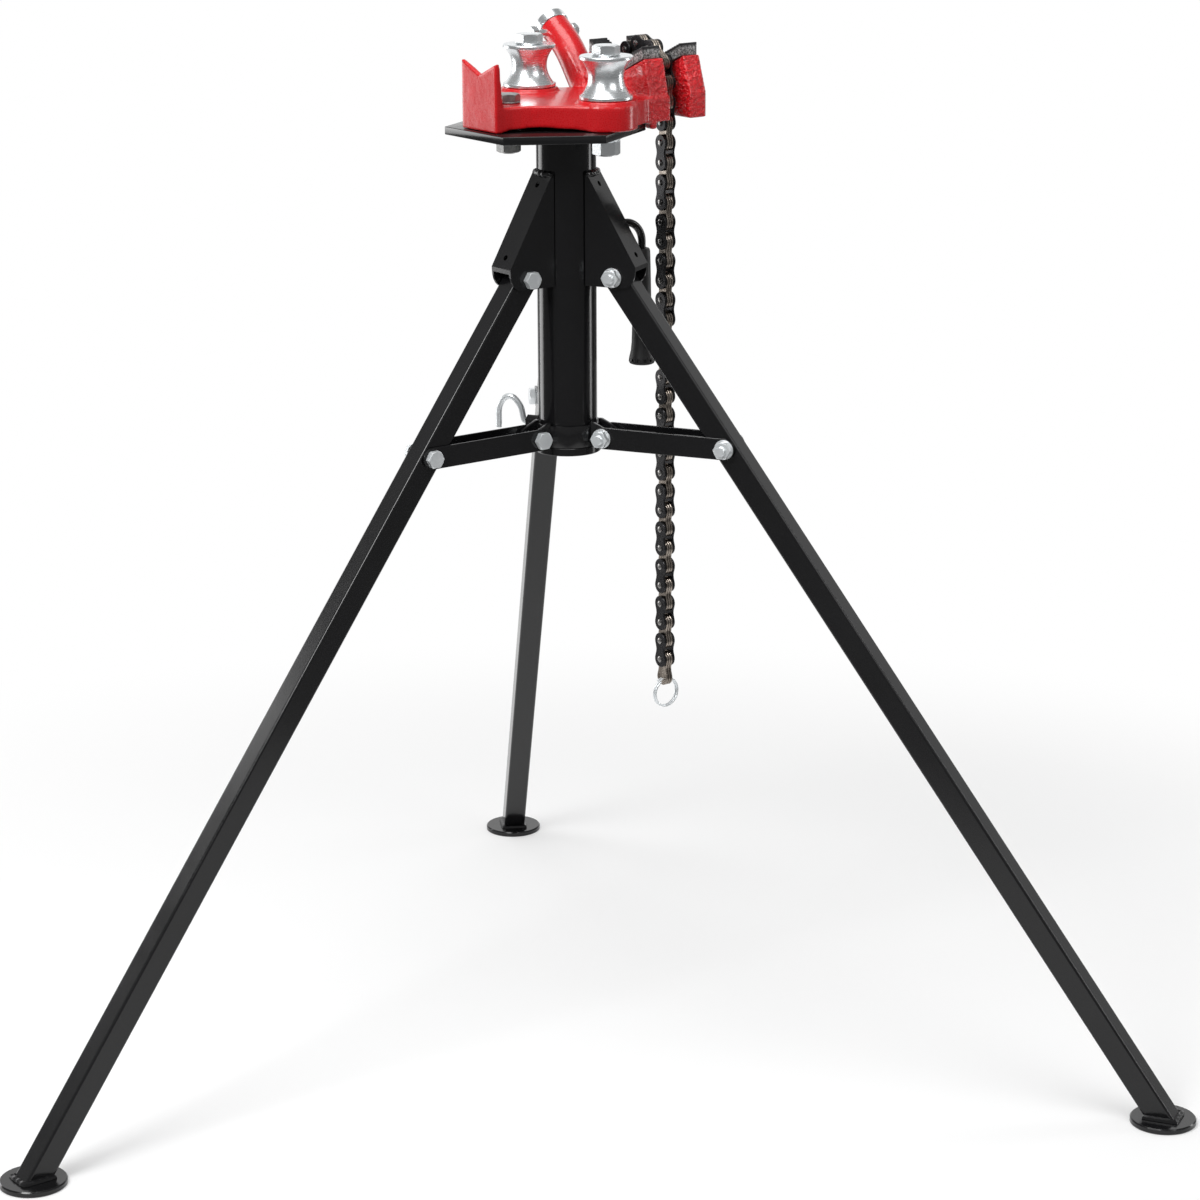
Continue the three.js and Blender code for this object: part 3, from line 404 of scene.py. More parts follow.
# %% [markdown]
# ## Paper floor
# Close to the feet the paper is plain matt white and takes the shadow. Farther out it runs into the
# backdrop, where it only has to look white, to the eye and in the metal. In front of the stand, out
# of the picture, light finds a grey floor and mirrors a dimmed white, as where a photographer lays
# dark flags, and that keeps upright black faces dark. FLAGGED is the share of white left in mirrors.

# %% Floor
FLAGGED, FLOOR_REACH = 0.12, 9.0


def make_paper():
    paper = Finish("paper", Roughness=0.95, Specular_IOR_Level=0.05)
    tree = paper.tree
    spots = paper.noise(scale=1.5, detail=1.0)
    from_axis = paper.vector("SUBTRACT", paper.place(), AXIS)
    depth = paper.vector("DOT_PRODUCT", from_axis, -TO_CAMERA, "Value")
    aside = paper.vector("DOT_PRODUCT", from_axis, LEFT, "Value")
    widening = aside.at_least(-1.0 * aside) - depth * 0.22
    on_paper = paper.band(depth, -1.0, -0.7) * paper.band(widening, 0.85, 1.1, to_low=1.0, to_high=0.0)
    white = paper.tint(spots, rgb(0.88, 0.88, 0.88), rgb(0.91, 0.91, 0.91))
    rays = tree.nodes.new("ShaderNodeLightPath")
    eye, gloss, glass = (Value(tree, rays.outputs[f"Is {ray} Ray"])
                         for ray in ("Camera", "Glossy", "Transmission"))
    grey = rgb(0.16, 0.16, 0.16)
    paper.feed(Base_Color=paper.tint(eye.at_least(on_paper), grey, white))
    mirrored = gloss.at_least(glass) * (on_paper * (1 - FLAGGED) + FLAGGED)
    seen = eye.at_least(mirrored)
    from_feet = paper.vector("DISTANCE", paper.place(), AXIS, "Value")
    far = paper.band(from_feet, 0.75, 1.5, to_low=0.35)
    glow = tree.nodes.new("ShaderNodeEmission")
    glow.inputs["Strength"].default_value = 1.0
    mix = tree.nodes.new("ShaderNodeMixShader")
    tree.links.new((seen * far).socket, mix.inputs[0])
    tree.links.new(paper.shader.outputs[0], mix.inputs[1])
    tree.links.new(glow.outputs[0], mix.inputs[2])
    tree.links.new(mix.outputs[0], tree.nodes["Material Output"].inputs["Surface"])
    return paper.material


floor_bm = bmesh.new()
bmesh.ops.create_grid(floor_bm, x_segments=1, y_segments=1, size=FLOOR_REACH)
floor_mesh = bpy.data.meshes.new("floor")
floor_bm.to_mesh(floor_mesh)
floor_bm.free()
floor = bpy.data.objects.new("floor", floor_mesh)
scene.collection.objects.link(floor)
floor.data.materials.append(make_paper())
print("floor", floor.name)

# %% [markdown]
# ## Backdrop
# The world is white where the paper hangs, behind the stand, and falls off to a dim grey room on the
# camera's side. The eye sees white all round, so that black pieces stand out from every side, and
# mirrors see it dimmed on the camera's side.

# %% Backdrop
DIM_ROOM, DIM_MIRROR = 0.25, 0.3
world = bpy.data.worlds.new("studio")
scene.world = world
world.use_nodes = True
sky = world.node_tree
towards = sky.nodes.new("ShaderNodeTexCoord")
behind = sky.nodes.new("ShaderNodeVectorMath")
behind.operation = "DOT_PRODUCT"
sky.links.new(towards.outputs["Generated"], behind.inputs[0])
behind.inputs[1].default_value = -TO_CAMERA
fall = sky.nodes.new("ShaderNodeMapRange")
fall.interpolation_type = "SMOOTHSTEP"
sky.links.new(behind.outputs["Value"], fall.inputs["Value"])
for socket, amount in (("From Min", 0.55), ("From Max", 0.90), ("To Min", DIM_ROOM), ("To Max", 1.0)):
    fall.inputs[socket].default_value = amount
rays = sky.nodes.new("ShaderNodeLightPath")
level = Value(sky, fall.outputs[0])
for ray, strength in (("Camera", 1.0), ("Glossy", DIM_MIRROR), ("Transmission", DIM_MIRROR)):
    level = level.at_least(Value(sky, rays.outputs[f"Is {ray} Ray"]) * strength)
backdrop = sky.nodes["Background"]
backdrop.inputs["Color"].default_value = rgb(1, 1, 1)
sky.links.new(level.socket, backdrop.inputs["Strength"])
print("backdrop", world.name)

# %% [markdown]
# ## Column
# The column is drawn tube with a rolled lip at the foot that stops the collar. A spun profile gives it
# a true round outline, and small corner steps in the profile stand for the broken edges. SEAT is the
# hairline gap that the solids leave between pieces that touch. Sizes without MM are in millimetres.

# %% Column
SEAT, PLATE_LOW = 0.3, 957.0
COLUMN_R, COLUMN_BORE, COLUMN_TOP = 30, 27, PLATE_LOW - SEAT
LIP_R, LIP_LOW, LIP_TOP = 33.5, 632, 640
column_bm = bmesh.new()
spun(column_bm, [(COLUMN_BORE, LIP_LOW + 0.6), (COLUMN_BORE + 0.6, LIP_LOW), (LIP_R - 0.6, LIP_LOW),
                 (LIP_R, LIP_LOW + 0.6), (LIP_R, LIP_TOP - 0.8), (LIP_R - 0.8, LIP_TOP),
                 (COLUMN_R, LIP_TOP), (COLUMN_R, COLUMN_TOP), (COLUMN_BORE, COLUMN_TOP),
                 (COLUMN_BORE, LIP_LOW + 0.6)], 72)
shift(column_bm, AXIS)
settle(column_bm, "column", "frame", [powder_coat], ["column_tube"])
print("column", round(COLUMN_TOP - LIP_LOW, 1))

# %% [markdown]
# ## Legs
# A leg is square tube with small round corners, sawn level at the foot. The bmesh starts from a
# four-sided circle, its corners are bevelled, it is pulled out to length, hollowed at the top and cut
# by a level plane.

# %% Leg tube
LEG_W, LEG_WALL, HEEL = 25 * MM, 2 * MM, 17 * MM
LEG_CORNER, LEG_HOLLOW = 2.6 * MM, 40 * MM
PIVOT = Vector((56 * MM, 0, 815 * MM))
FOOT_R, FOOT_T = 643 * MM, 6 * MM
TILT = math.atan2(FOOT_R - PIVOT.x, PIVOT.z - FOOT_T)
LEG_LENGTH = (PIVOT.z - FOOT_T) / math.cos(TILT) + LEG_W


def grow(bm, face):
    """Extrude one face. Its edges go in too, so that the old face isn't left inside the piece."""
    made = bmesh.ops.extrude_face_region(bm, geom=[face, *face.edges, *face.verts])["geom"]
    moved = [g for g in made if isinstance(g, bmesh.types.BMVert)]
    return moved, next(g for g in made if isinstance(g, bmesh.types.BMFace))


def pull(bm, face, along):
    """Extrude one face and carry it along a vector; the new end face comes back."""
    moved, end = grow(bm, face)
    bmesh.ops.translate(bm, verts=moved, vec=along)
    return end


def leg_shape():
    bm = bmesh.new()
    bmesh.ops.create_circle(bm, cap_ends=True, segments=4, radius=LEG_W / math.sqrt(2))
    rotate(bm, math.pi / 4, "Z")
    bmesh.ops.bevel(bm, geom=bm.verts[:], offset=LEG_CORNER, offset_type="OFFSET", segments=4,
                    profile=0.5, affect="VERTICES", material=-1)
    bm.faces.ensure_lookup_table()
    top = pull(bm, bm.faces[0], (0, 0, LEG_LENGTH + HEEL))
    bmesh.ops.inset_region(bm, faces=[top], thickness=LEG_WALL)
    pull(bm, top, (0, 0, -LEG_HOLLOW))
    shift(bm, PIVOT, Matrix.Rotation(-TILT, 4, "Y") @ Matrix.Translation((0, 0, -LEG_LENGTH)))
    bmesh.ops.bisect_plane(bm, geom=bm.verts[:] + bm.edges[:] + bm.faces[:], dist=1e-6,
                           plane_co=(0, 0, FOOT_T + SEAT * MM), plane_no=(0, 0, -1), clear_outer=True)
    bmesh.ops.holes_fill(bm, edges=[e for e in bm.edges if e.is_boundary])
    return bm


for key in LEGS:
    leg_bm = leg_shape()
    to_leg(leg_bm, key)
    settle(leg_bm, f"leg_tube_{key}", f"leg_{key}_body", [powder_coat], [f"leg_{key}"], flat=True)
print("leg length", round(LEG_LENGTH + HEEL, 4))

# %% [markdown]
# ## Weld beads
# A hand weld is a rope of overlapping puddles. A small ring is pulled from point to point along the
# joint and swells and shrinks as it goes, which is close to how the puddles look under paint.

# %% Weld bead helper
PUDDLE_TURN = 2.1


def weld_bead(bm, points, radius, closed=False, ripple=0.20):
    def frame_at(i):
        if closed:
            ahead, behind = points[(i + 1) % len(points)], points[i - 1]
        else:
            ahead, behind = points[min(i + 1, len(points) - 1)], points[max(i - 1, 0)]
        turn = (ahead - behind).to_track_quat("Z", "Y").to_matrix().to_4x4()
        swell = 1.0 + ripple * math.sin(i * PUDDLE_TURN)
        return Matrix.Translation(points[i]) @ turn @ Matrix.Diagonal((swell, swell, 1, 1))

    ring = bmesh.ops.create_circle(bm, cap_ends=True, segments=8, radius=radius)
    verts = ring["verts"]
    bmesh.ops.transform(bm, matrix=frame_at(0), verts=verts)
    first = face = verts[0].link_faces[0]
    order = list(range(1, len(points))) + ([0] if closed else [])
    last = frame_at(0)
    for i in order:
        verts, face = grow(bm, face)
        here = frame_at(i)
        bmesh.ops.transform(bm, matrix=here @ last.inverted(), verts=verts)
        last = here
    if closed:
        bmesh.ops.delete(bm, geom=[first, face], context="FACES_ONLY")


def along(points, step):
    """Points every step along a polyline."""
    out = []
    for a, b in zip(points, points[1:]):
        count = max(1, round((b - a).length / step))
        out += [a.lerp(b, i / count) for i in range(count)]
    return out + [points[-1]]


# %% [markdown]
# ## Feet
# Each leg stands on a round plate with broken edges, welded on all round. The plate is spun, and the
# bead follows the slanting cut of the square tube.

# %% Feet
SOLE_R, SOLE_T = 33, FOOT_T / MM
BEAD_STEP, BEAD_R = 2.6 * MM, 3.4 * MM
for key in LEGS:
    foot_bm = bmesh.new()
    spun(foot_bm, [(0, 0), (SOLE_R - 1, 0), (SOLE_R, 0.9), (SOLE_R, SOLE_T - 1.2),
                   (SOLE_R - 1.2, SOLE_T), (0, SOLE_T)], 64)
    half, long = LEG_W / 2, LEG_W / 2 / math.cos(TILT)
    corners = [Vector((x * long, y * half, FOOT_T + 0.6 * MM))
               for x, y in ((1, 1), (-1, 1), (-1, -1), (1, -1), (1, 1))]
    weld_bead(foot_bm, along(corners, BEAD_STEP)[:-1], BEAD_R, closed=True, ripple=0.07)
    shift(foot_bm, (FOOT_R, 0, 0))
    to_leg(foot_bm, key)
    settle(foot_bm, f"foot_plate_{key}", f"leg_{key}_body", [powder_coat], [f"foot_{key}"])
print("feet", len(LEGS))

# %% [markdown]
# ## Folded sheet: hoods and braces
# Hoods and braces are bent from sheet, so their long corners are rounded by the press brake while their
# sheared ends stay crisp. The solid's own triangles are merged into flat faces, and only the long bend
# edges get a bevel. A weld bead closes each hood over the column.

# %% Sheet metal
def merged(node):
    bm = bmesh.new()
    bm.from_mesh(nodes[node].data)
    bmesh.ops.remove_doubles(bm, verts=bm.verts, dist=2e-6)
    bmesh.ops.dissolve_limit(bm, angle_limit=math.radians(1.0), verts=bm.verts, edges=bm.edges)
    return bm


def crisp_edges(bm, angle):
    return [e for e in bm.edges if len(e.link_faces) == 2 and e.calc_face_angle(0) > math.radians(angle)]


def ease(bm, edges, width, segments):
    bmesh.ops.bevel(bm, geom=edges, offset=width, offset_type="OFFSET", segments=segments, profile=0.5,
                    affect="EDGES", material=-1, clamp_overlap=True)


def folded(node, bend, longer_than):
    """Round the long outer corners of a bent sheet."""
    bm = merged(node)
    bends = [e for e in crisp_edges(bm, 60) if e.calc_length() > longer_than and e.is_convex]
    ease(bm, bends, bend, 3)
    return bm


HOOD_BEAD_R, HOOD_BEAD_Z = COLUMN_R + 0.6, 916.6
for key in LEGS:
    hood_bm = folded(f"hood_{key}", bend=1.6 * MM, longer_than=95 * MM)
    arc = [Vector((HOOD_BEAD_R * math.cos(t), HOOD_BEAD_R * math.sin(t), HOOD_BEAD_Z)) * MM
           for t in [math.radians(d) for d in range(-30, 31, 4)]]
    bead_bm = bmesh.new()
    weld_bead(bead_bm, arc, 3.2 * MM)
    to_leg(bead_bm, key)
    settle(hood_bm, f"hood_sheet_{key}", "frame", [powder_coat], [f"hood_{key}"], flat=True)
    settle(bead_bm, f"hood_weld_{key}", "frame", [powder_coat], sharp=60)
    brace_bm = folded(f"brace_{key}", bend=1.4 * MM, longer_than=45 * MM)
    settle(brace_bm, f"brace_channel_{key}", f"brace_{key}_body", [powder_coat], [f"brace_{key}"], flat=True)
print("sheet pieces", 2 * len(LEGS))

# %% [markdown]
# ## Plate, collar and jaws
# These solids already have the right shape, so they stay. A Weld modifier closes the loose triangles and
# a Bevel breaks the edges, which lets the soft boxes draw a thin line of light along them.

# %% Softened solids
def dress(node, finish):
    """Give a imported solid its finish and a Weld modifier."""
    solid = nodes[node]
    solid.data.materials.clear()
    solid.data.materials.append(finish)
    solid.data.shade_smooth()
    weld = solid.modifiers.new("weld", "WELD")
    weld.merge_threshold = 2e-6
    return solid


def soften(node, finish, width, angle):
    solid = dress(node, finish)
    bevel = solid.modifiers.new("broken_edges", "BEVEL")
    bevel.limit_method = "ANGLE"
    bevel.angle_limit = math.radians(angle)
    bevel.width = width
    bevel.segments = 2
    bevel.harden_normals = True


SOFTENED = (("top_plate", powder_coat, 0.7, 38), ("collar", powder_coat, 0.6, 38),
            ("jaw_front", toothed_steel, 0.3, 30), ("jaw_rear", toothed_steel, 0.3, 30),
            ("chain_anchor_pin", zinc_plain, 0.5, 38))
for node, finish, width, angle in SOFTENED:
    soften(node, finish, width * MM, angle)
print("softened", len(SOFTENED))

# %% [markdown]
# ## The casting
# Sand castings have no sharp edges: every corner is rounded by the pattern and filled at the roots. A
# voxel remesh lays an even skin over the solid, and a few rounds of smoothing pull the edges in, which
# gives all of those fillets at once.

# %% Casting
casting = dress("vise_body", red_paint)
skin = casting.modifiers.new("skin", "REMESH")
skin.mode = "VOXEL"
skin.voxel_size = 1.3 * MM
skin.use_smooth_shade = True
fillet = casting.modifiers.new("fillets", "SMOOTH")
fillet.factor = 0.5
fillet.iterations = 7
print("casting voxel", skin.voxel_size)

# %% [markdown]
# ## Leaning neck
# The neck of the socket is cast round and fettled smooth, so it gets its own skin over the casting. A
# round line runs out of the base and bends over to the mouth, and is turned into a mesh at once.

# %% Neck
LEAN = math.radians(52)
NECK_X, NECK_R, NECK_RUN, NECK_SUNK = 70, 15.55, 30, 15.5
MOUTH = AXIS + Vector((NECK_X, 114.4, 1044.8)) * MM
MOUTH_OUT = Vector((0, math.sin(LEAN), math.cos(LEAN)))


def round_line(name, points, radius, sides=6, steps=12, straight=0):
    """A smooth round bar through the points, as a bmesh; the first few points stay in line."""
    line = bpy.data.curves.new(name, "CURVE")
    line.dimensions = "3D"
    line.bevel_depth = radius
    line.bevel_resolution = sides
    line.resolution_u = steps
    line.use_fill_caps = True
    spline = line.splines.new("BEZIER")
    spline.bezier_points.add(len(points) - 1)
    for bend, co in zip(spline.bezier_points, points):
        bend.co = co
        bend.handle_left_type = bend.handle_right_type = "AUTO"
    lead = (points[1] - points[0]) / 3
    for bend in spline.bezier_points[:straight]:
        bend.handle_left_type = bend.handle_right_type = "FREE"
        bend.handle_left = bend.co - lead
        bend.handle_right = bend.co + lead
    holder = bpy.data.objects.new(name, line)
    scene.collection.objects.link(holder)
    bpy.context.view_layer.update()
    drawn = bpy.data.meshes.new_from_object(holder.evaluated_get(bpy.context.evaluated_depsgraph_get()))
    bpy.data.objects.remove(holder)
    bm = bmesh.new()
    bm.from_mesh(drawn)
    bpy.data.meshes.remove(drawn)
    return bm


neck_bend = MOUTH - MOUTH_OUT * NECK_RUN * MM
neck_rise = AXIS + Vector((NECK_X, 62, 990)) * MM
neck_foot = neck_rise + (neck_rise - neck_bend).normalized() * NECK_SUNK * MM
neck_line = [neck_foot, neck_rise, neck_bend, MOUTH - MOUTH_OUT * 0.2 * MM]
neck_bm = round_line("neck_line", neck_line, NECK_R * MM, sides=10)
settle(neck_bm, "socket_neck", "frame", [red_paint], sharp=50)
print("neck mouth", [round(v, 4) for v in MOUTH])

# %% [markdown]
# ## Bending rollers
# Each roller is a turned spool: a broad rim at top and bottom, a hollow waist that fits the pipe and
# a broken edge on each rim. One profile is drawn and spun for both.

# %% Rollers
PAD_TOP, ROLLER_H, ROLLER_X, ROLLER_Y = 994.0, 42.5, 2, 64
ROLLER_LOW = PAD_TOP + SEAT
ROLLER_HIGH = ROLLER_LOW + ROLLER_H


def roller_profile():
    rim, rim_t, edge, waist, bore = 26.5, 4.0, 0.8, 17.5, 8.35
    mid, reach, swell = (ROLLER_LOW + ROLLER_HIGH) / 2, ROLLER_H / 2 - rim_t, rim - 2.2 - waist
    foot = [(bore, ROLLER_LOW), (rim - edge, ROLLER_LOW), (rim, ROLLER_LOW + edge),
            (rim, ROLLER_LOW + rim_t - edge), (rim - edge, ROLLER_LOW + rim_t)]
    hollow = [(waist + swell * t * t, mid + reach * t) for t in [-1 + i / 10 for i in range(21)]]
    head = [(r, 2 * mid - z) for r, z in reversed(foot)]
    return foot + hollow + head + [(bore, ROLLER_LOW)]


SIDES = (("near", -1), ("far", 1))
for side, sign in SIDES:
    roller_bm = bmesh.new()
    spun(roller_bm, roller_profile(), 64)
    shift(roller_bm, AXIS + Vector((ROLLER_X, sign * ROLLER_Y, 0)) * MM)
    settle(roller_bm, f"spool_{side}", f"roller_{side}_body", [zinc_turned], [f"roller_{side}"])
print("rollers", len(SIDES))

# %% [markdown]
# ## Bolts
# A hexagon head is a prism whose corners are turned off by a cone. The ring starts round, is pushed out
# to the hexagon, is pulled up, and its corners are let down in proportion to how far they stand out.
# The thread that shows past the nut is a spun zigzag.

# %% Bolt maker
CONE_FROM, CONE_DROP, THREAD = 0.95, 0.55, 1.1
M10 = dict(d=10, af=16, head=6.4, nut=8, flange=20, flange_t=2, tail=4)
M14 = dict(d=14, af=21, head=8.8, nut=15, flange=25, flange_t=2.5, tail=1)
M16 = dict(d=16, af=24, head=10, nut=17, flange=31, flange_t=3, tail=1)
M8 = dict(d=8, af=13, head=5.3, nut=6.5, flange=14, flange_t=1.6, tail=3)


def hex_block(across, height, matrix):
    """A hexagon block standing on z = 0 with a coned top, turned into place."""
    bm = bmesh.new()
    ring = bmesh.ops.create_circle(bm, cap_ends=True, segments=48, radius=across / 2 * MM)
    for v in ring["verts"]:
        turn = (math.atan2(v.co.y, v.co.x) + math.pi / 6) % (math.pi / 3) - math.pi / 6
        v.co *= 1 / math.cos(turn)
    bm.faces.ensure_lookup_table()
    top = pull(bm, bm.faces[0], (0, 0, height * MM))
    flat = across / 2 * CONE_FROM * MM
    for v in top.verts:
        v.co.z -= max(0.0, v.co.xy.length - flat) * CONE_DROP
    bmesh.ops.inset_region(bm, faces=[top], thickness=0.3 * MM)
    for v in top.verts:
        v.co.xy *= flat / max(v.co.xy.length, 1e-9)
        v.co.z = height * MM
    bmesh.ops.transform(bm, matrix=matrix, verts=bm.verts)
    return bm


def blend_in(target, part):
    carrier = bpy.data.meshes.new("carrier")
    part.to_mesh(carrier)
    part.free()
    target.from_mesh(carrier)
    bpy.data.meshes.remove(carrier)


def bolt_shape(m, grip, head=True, nut=True):
    """A bolt along +Z in the same place as the solid's: head under zero, nut past the grip. Without
    its head or its nut it is half a bolt, with a short end of shank."""
    bm = bmesh.new()
    flip = Matrix.Rotation(math.pi, 4, "X")
    low, high = -SEAT, grip + SEAT
    if head:
        blend_in(bm, hex_block(m["af"], m["head"], Matrix.Translation((0, 0, low * MM)) @ flip))
    if nut:
        lift = high + m["flange_t"]
        blend_in(bm, hex_block(m["af"], m["nut"] - m["flange_t"], Matrix.Translation((0, 0, lift * MM))))
        part = bmesh.new()
        spun(part, [(0, high), (m["flange"] / 2 - 0.3, high), (m["flange"] / 2, high + 0.4),
                    (m["af"] / 2 + 0.6, lift + 0.6), (0, lift + 0.6)], 40)
        blend_in(bm, part)
        part = bmesh.new()
        end = high + m["nut"] + m["tail"]
        z, r = high + m["nut"] - 1, m["d"] / 2
        thread = [(0, z)]
        while z < end - 0.9:
            thread += [(r, z), (r - THREAD / 2, z + THREAD / 2)]
            z += THREAD
        thread += [(r - 0.7, end), (0, end)]
        spun(part, thread, 24)
        blend_in(bm, part)
    part = bmesh.new()
    start = low - 0.5 if head else high - 2.0
    stop = high + 1 if nut else 1.7
    spun(part, [(0, start), (m["d"] / 2, start), (m["d"] / 2, stop), (0, stop)], 24)
    blend_in(bm, part)
    return bm


ALONG_Y = Matrix(((0, 1, 0, 0), (0, 0, 1, 0), (1, 0, 0, 0), (0, 0, 0, 1)))
TURN_BACK = Matrix.Rotation(math.pi, 4, "Z")
print("bolt sizes", [m["d"] for m in (M8, M10, M14, M16)])

# %% [markdown]
# ## Stand bolts
# Each leg turns on a bolt through its hood, and each brace on one bolt at the collar and one at the leg.
# All lie across their leg, so one function draws a bolt upright, lays it across and turns it to its leg.
# The bolt at the leg comes as two halves, as in the solids.

# %% Stand bolts
HOOD_GAP, HOOD_SHEET, BRACE_GAP, BRACE_SHEET = 1, 2.5, 0.7, 2
HOOD_OUT = LEG_W / MM / 2 + HOOD_GAP + HOOD_SHEET
BRACE_OUT = LEG_W / MM / 2 + BRACE_GAP + BRACE_SHEET
COLLAR_BOLT_R, BRACE_Z = 43.5, 650.0
LEG_BOLT_R = (PIVOT.x + (PIVOT.z - BRACE_Z * MM) * math.tan(TILT)) / MM


def cross_bolt(name, body, key, r, z, out, stands_for, **ends):
    bm = bolt_shape(M10, 2 * out, **ends)
    shift(bm, (r * MM, out * MM, z * MM), TURN_BACK @ ALONG_Y)
    to_leg(bm, key)
    settle(bm, name, body, [zinc_plain], [stands_for], flat=True)


for key in LEGS:
    cross_bolt(f"pivot_bolt_{key}", "frame", key, PIVOT.x / MM, PIVOT.z / MM, HOOD_OUT, f"leg_bolt_{key}")
    cross_bolt(f"lug_bolt_{key}", "collar_body", key, COLLAR_BOLT_R, BRACE_Z, BRACE_OUT, f"collar_bolt_{key}")
    for end, other in (("head", "nut"), ("nut", "head")):
        cross_bolt(f"brace_{end}_{key}", f"brace_{key}_body", key, LEG_BOLT_R, BRACE_Z, BRACE_OUT,
                   f"brace_bolt_{end}_{key}", **{other: False})
print("stand bolts", 4 * len(LEGS))

# %% [markdown]
# ## Head bolts
# Two large bolts hold the rollers and a third stands beside the V rest. They go down through the casting
# and the plate, with the nut below. Each is the same bolt turned over, with a thin washer spun under its
# head.

# %% Head bolts
REST_X, REST_TOP = -70, 990.0
WASHER, WASHER_T = 0.56, 1.5
HEAD_BOLTS = (
    ("rest_stud", "rest_bolt", M14, REST_X, 0, REST_TOP, bolt_steel, "dark_bolt"),
    ("roller_stud_near", "roller_bolt_near", M16, ROLLER_X, -ROLLER_Y, ROLLER_HIGH, zinc_bright, "zinc"),
    ("roller_stud_far", "roller_bolt_far", M16, ROLLER_X, ROLLER_Y, ROLLER_HIGH, zinc_bright, "zinc"))
for name, node, m, x, y, top, finish, slot in HEAD_BOLTS:
    stud_bm = bolt_shape(m, top - PLATE_LOW)
    part = bmesh.new()
    r, under = m["af"] * WASHER, -SEAT - WASHER_T
    spun(part, [(0, -SEAT), (r, -SEAT), (r + 0.4, -1.0), (r, under), (0, under)], 40)
    blend_in(stud_bm, part)
    shift(stud_bm, AXIS + Vector((x, y, top)) * MM, Matrix.Rotation(math.pi, 4, "X"))
    settle(stud_bm, name, "frame", [finish], [node], flat=True)
print("head bolts", len(HEAD_BOLTS))

# %% [markdown]
# ## Chain
# The chain goes over an arch between the towers and then hangs straight down. Everything in it sits on
# its pins, so the line of pins comes first: points on a circle, one pitch apart, and then straight down.

# %% Chain pins
PITCH, ARCH_R, ARCH_Y, ARCH_Z = 20.0, 36.0, 2.0, 1000.0
TOWER_X, TOWER_T, CHAIN_SLOT = 62, 25, 24
CHAIN_X = TOWER_X + TOWER_T + CHAIN_SLOT / 2
ARCH_LINKS, HANG_LINKS = 6, 30
swing = 2 * math.asin(PITCH / 2 / ARCH_R)
pins = [Vector((CHAIN_X, ARCH_Y + ARCH_R * math.cos(math.pi - i * swing),
                ARCH_Z + ARCH_R * math.sin(math.pi - i * swing))) for i in range(ARCH_LINKS, 0, -1)]
pins += [Vector((CHAIN_X, ARCH_Y - ARCH_R, ARCH_Z - i * PITCH)) for i in range(HANG_LINKS + 2)]
print("pins", len(pins), "lowest", pins[-1].z)

# %% [markdown]
# ## Chain plates and rivets
# The chain alternates a pack of three thin leaves with a pair of side plates. Plate outlines are a round
# lobe at each pin and a waist between. One plate is shaped from a circle and pulled to its thickness, and
# one rivet with domed ends is spun. Each is stored once as a mesh.

# %% Chain plates
LOBE, WAIST = 8.4, 6.1
LEAF_W, LEAF_GAP, CHAIN_GAP, SIDE_T = 8.2, 0.7, 0.4, 2.3


def link_plate(thick):
    """A waisted plate from pin to pin: pins at z = 0 and z = -PITCH, thickness along X."""
    bm = bmesh.new()
    ring = bmesh.ops.create_circle(bm, cap_ends=True, segments=40, radius=1.0)
    reach = PITCH / 2 + LOBE
    for v in ring["verts"]:
        angle = math.atan2(v.co.y, v.co.x)
        z = reach * math.sin(angle)
        past = abs(z) - PITCH / 2
        if past > 0:
            y = math.sqrt(max(0.0, LOBE * LOBE - past * past))
        else:
            y = WAIST + (LOBE - WAIST) * (1 - math.cos(math.pi * abs(z) / (PITCH / 2))) / 2
        v.co = Vector((-thick / 2, math.copysign(y, math.cos(angle)), z - PITCH / 2)) * MM
    bm.faces.ensure_lookup_table()
    pull(bm, bm.faces[0], (thick * MM, 0, 0))
    rims = [e for e in bm.edges if abs(e.verts[0].co.x - e.verts[1].co.x) < 1e-7]
    ease(bm, rims, 0.35 * MM, 1)
    return bm


def rivet_shape():
    bm = bmesh.new()
    half = LEAF_W / 2 + CHAIN_GAP + SIDE_T
    top = [(3.3, half), (3.25, half + 0.5), (2.6, half + 0.95), (1.4, half + 1.1), (0, half + 1.1)]
    spun(bm, [(r, -z) for r, z in reversed(top)] + top, 20)
    rotate(bm, math.pi / 2, "Y")
    return bm


def stored(bm, name):
    bmesh.ops.recalc_face_normals(bm, faces=bm.faces)
    mesh = bpy.data.meshes.new(name)
    bm.to_mesh(mesh)
    bm.free()
    return mesh


side_plate = stored(link_plate(SIDE_T), "side_plate")
leaf_plate = stored(link_plate(LEAF_W / 3 - LEAF_GAP), "leaf_plate")
rivet = stored(rivet_shape(), "rivet")
print("plate faces", len(side_plate.polygons), "rivet faces", len(rivet.polygons))

# %% [markdown]
# ## Links on the pins
# A stored plate or rivet is copied into each link and turned from one pin to the next, so the curve over
# the jaws uses the same parts as the straight run. A pair of links is one piece, as in the solids, and
# three pairs of the hanging chain make one run that swings.

# %% Chain pieces
def lay(bm, mesh, place, material):
    """Copy a stored mesh into the bmesh, put it in place and give it a material slot."""
    before = len(bm.faces)
    start = len(bm.verts)
    bm.from_mesh(mesh)
    bm.verts.ensure_lookup_table()
    bm.faces.ensure_lookup_table()
    bmesh.ops.transform(bm, matrix=place, verts=bm.verts[start:])
    for face in bm.faces[before:]:
        face.material_index = material


def on_pins(a, b, x):
    """Turn a plate that hangs down so that it runs from pin a to pin b, x to one side."""
    down = (b - a).normalized()
    turn = math.atan2(down.y, -down.z)
    return Matrix.Translation(AXIS + (a + Vector((x, 0, 0))) * MM) @ Matrix.Rotation(turn, 4, "X")


def leaves(bm, a, b):
    for i in (-1, 0, 1):
        lay(bm, leaf_plate, on_pins(a, b, i * LEAF_W / 3), 1)


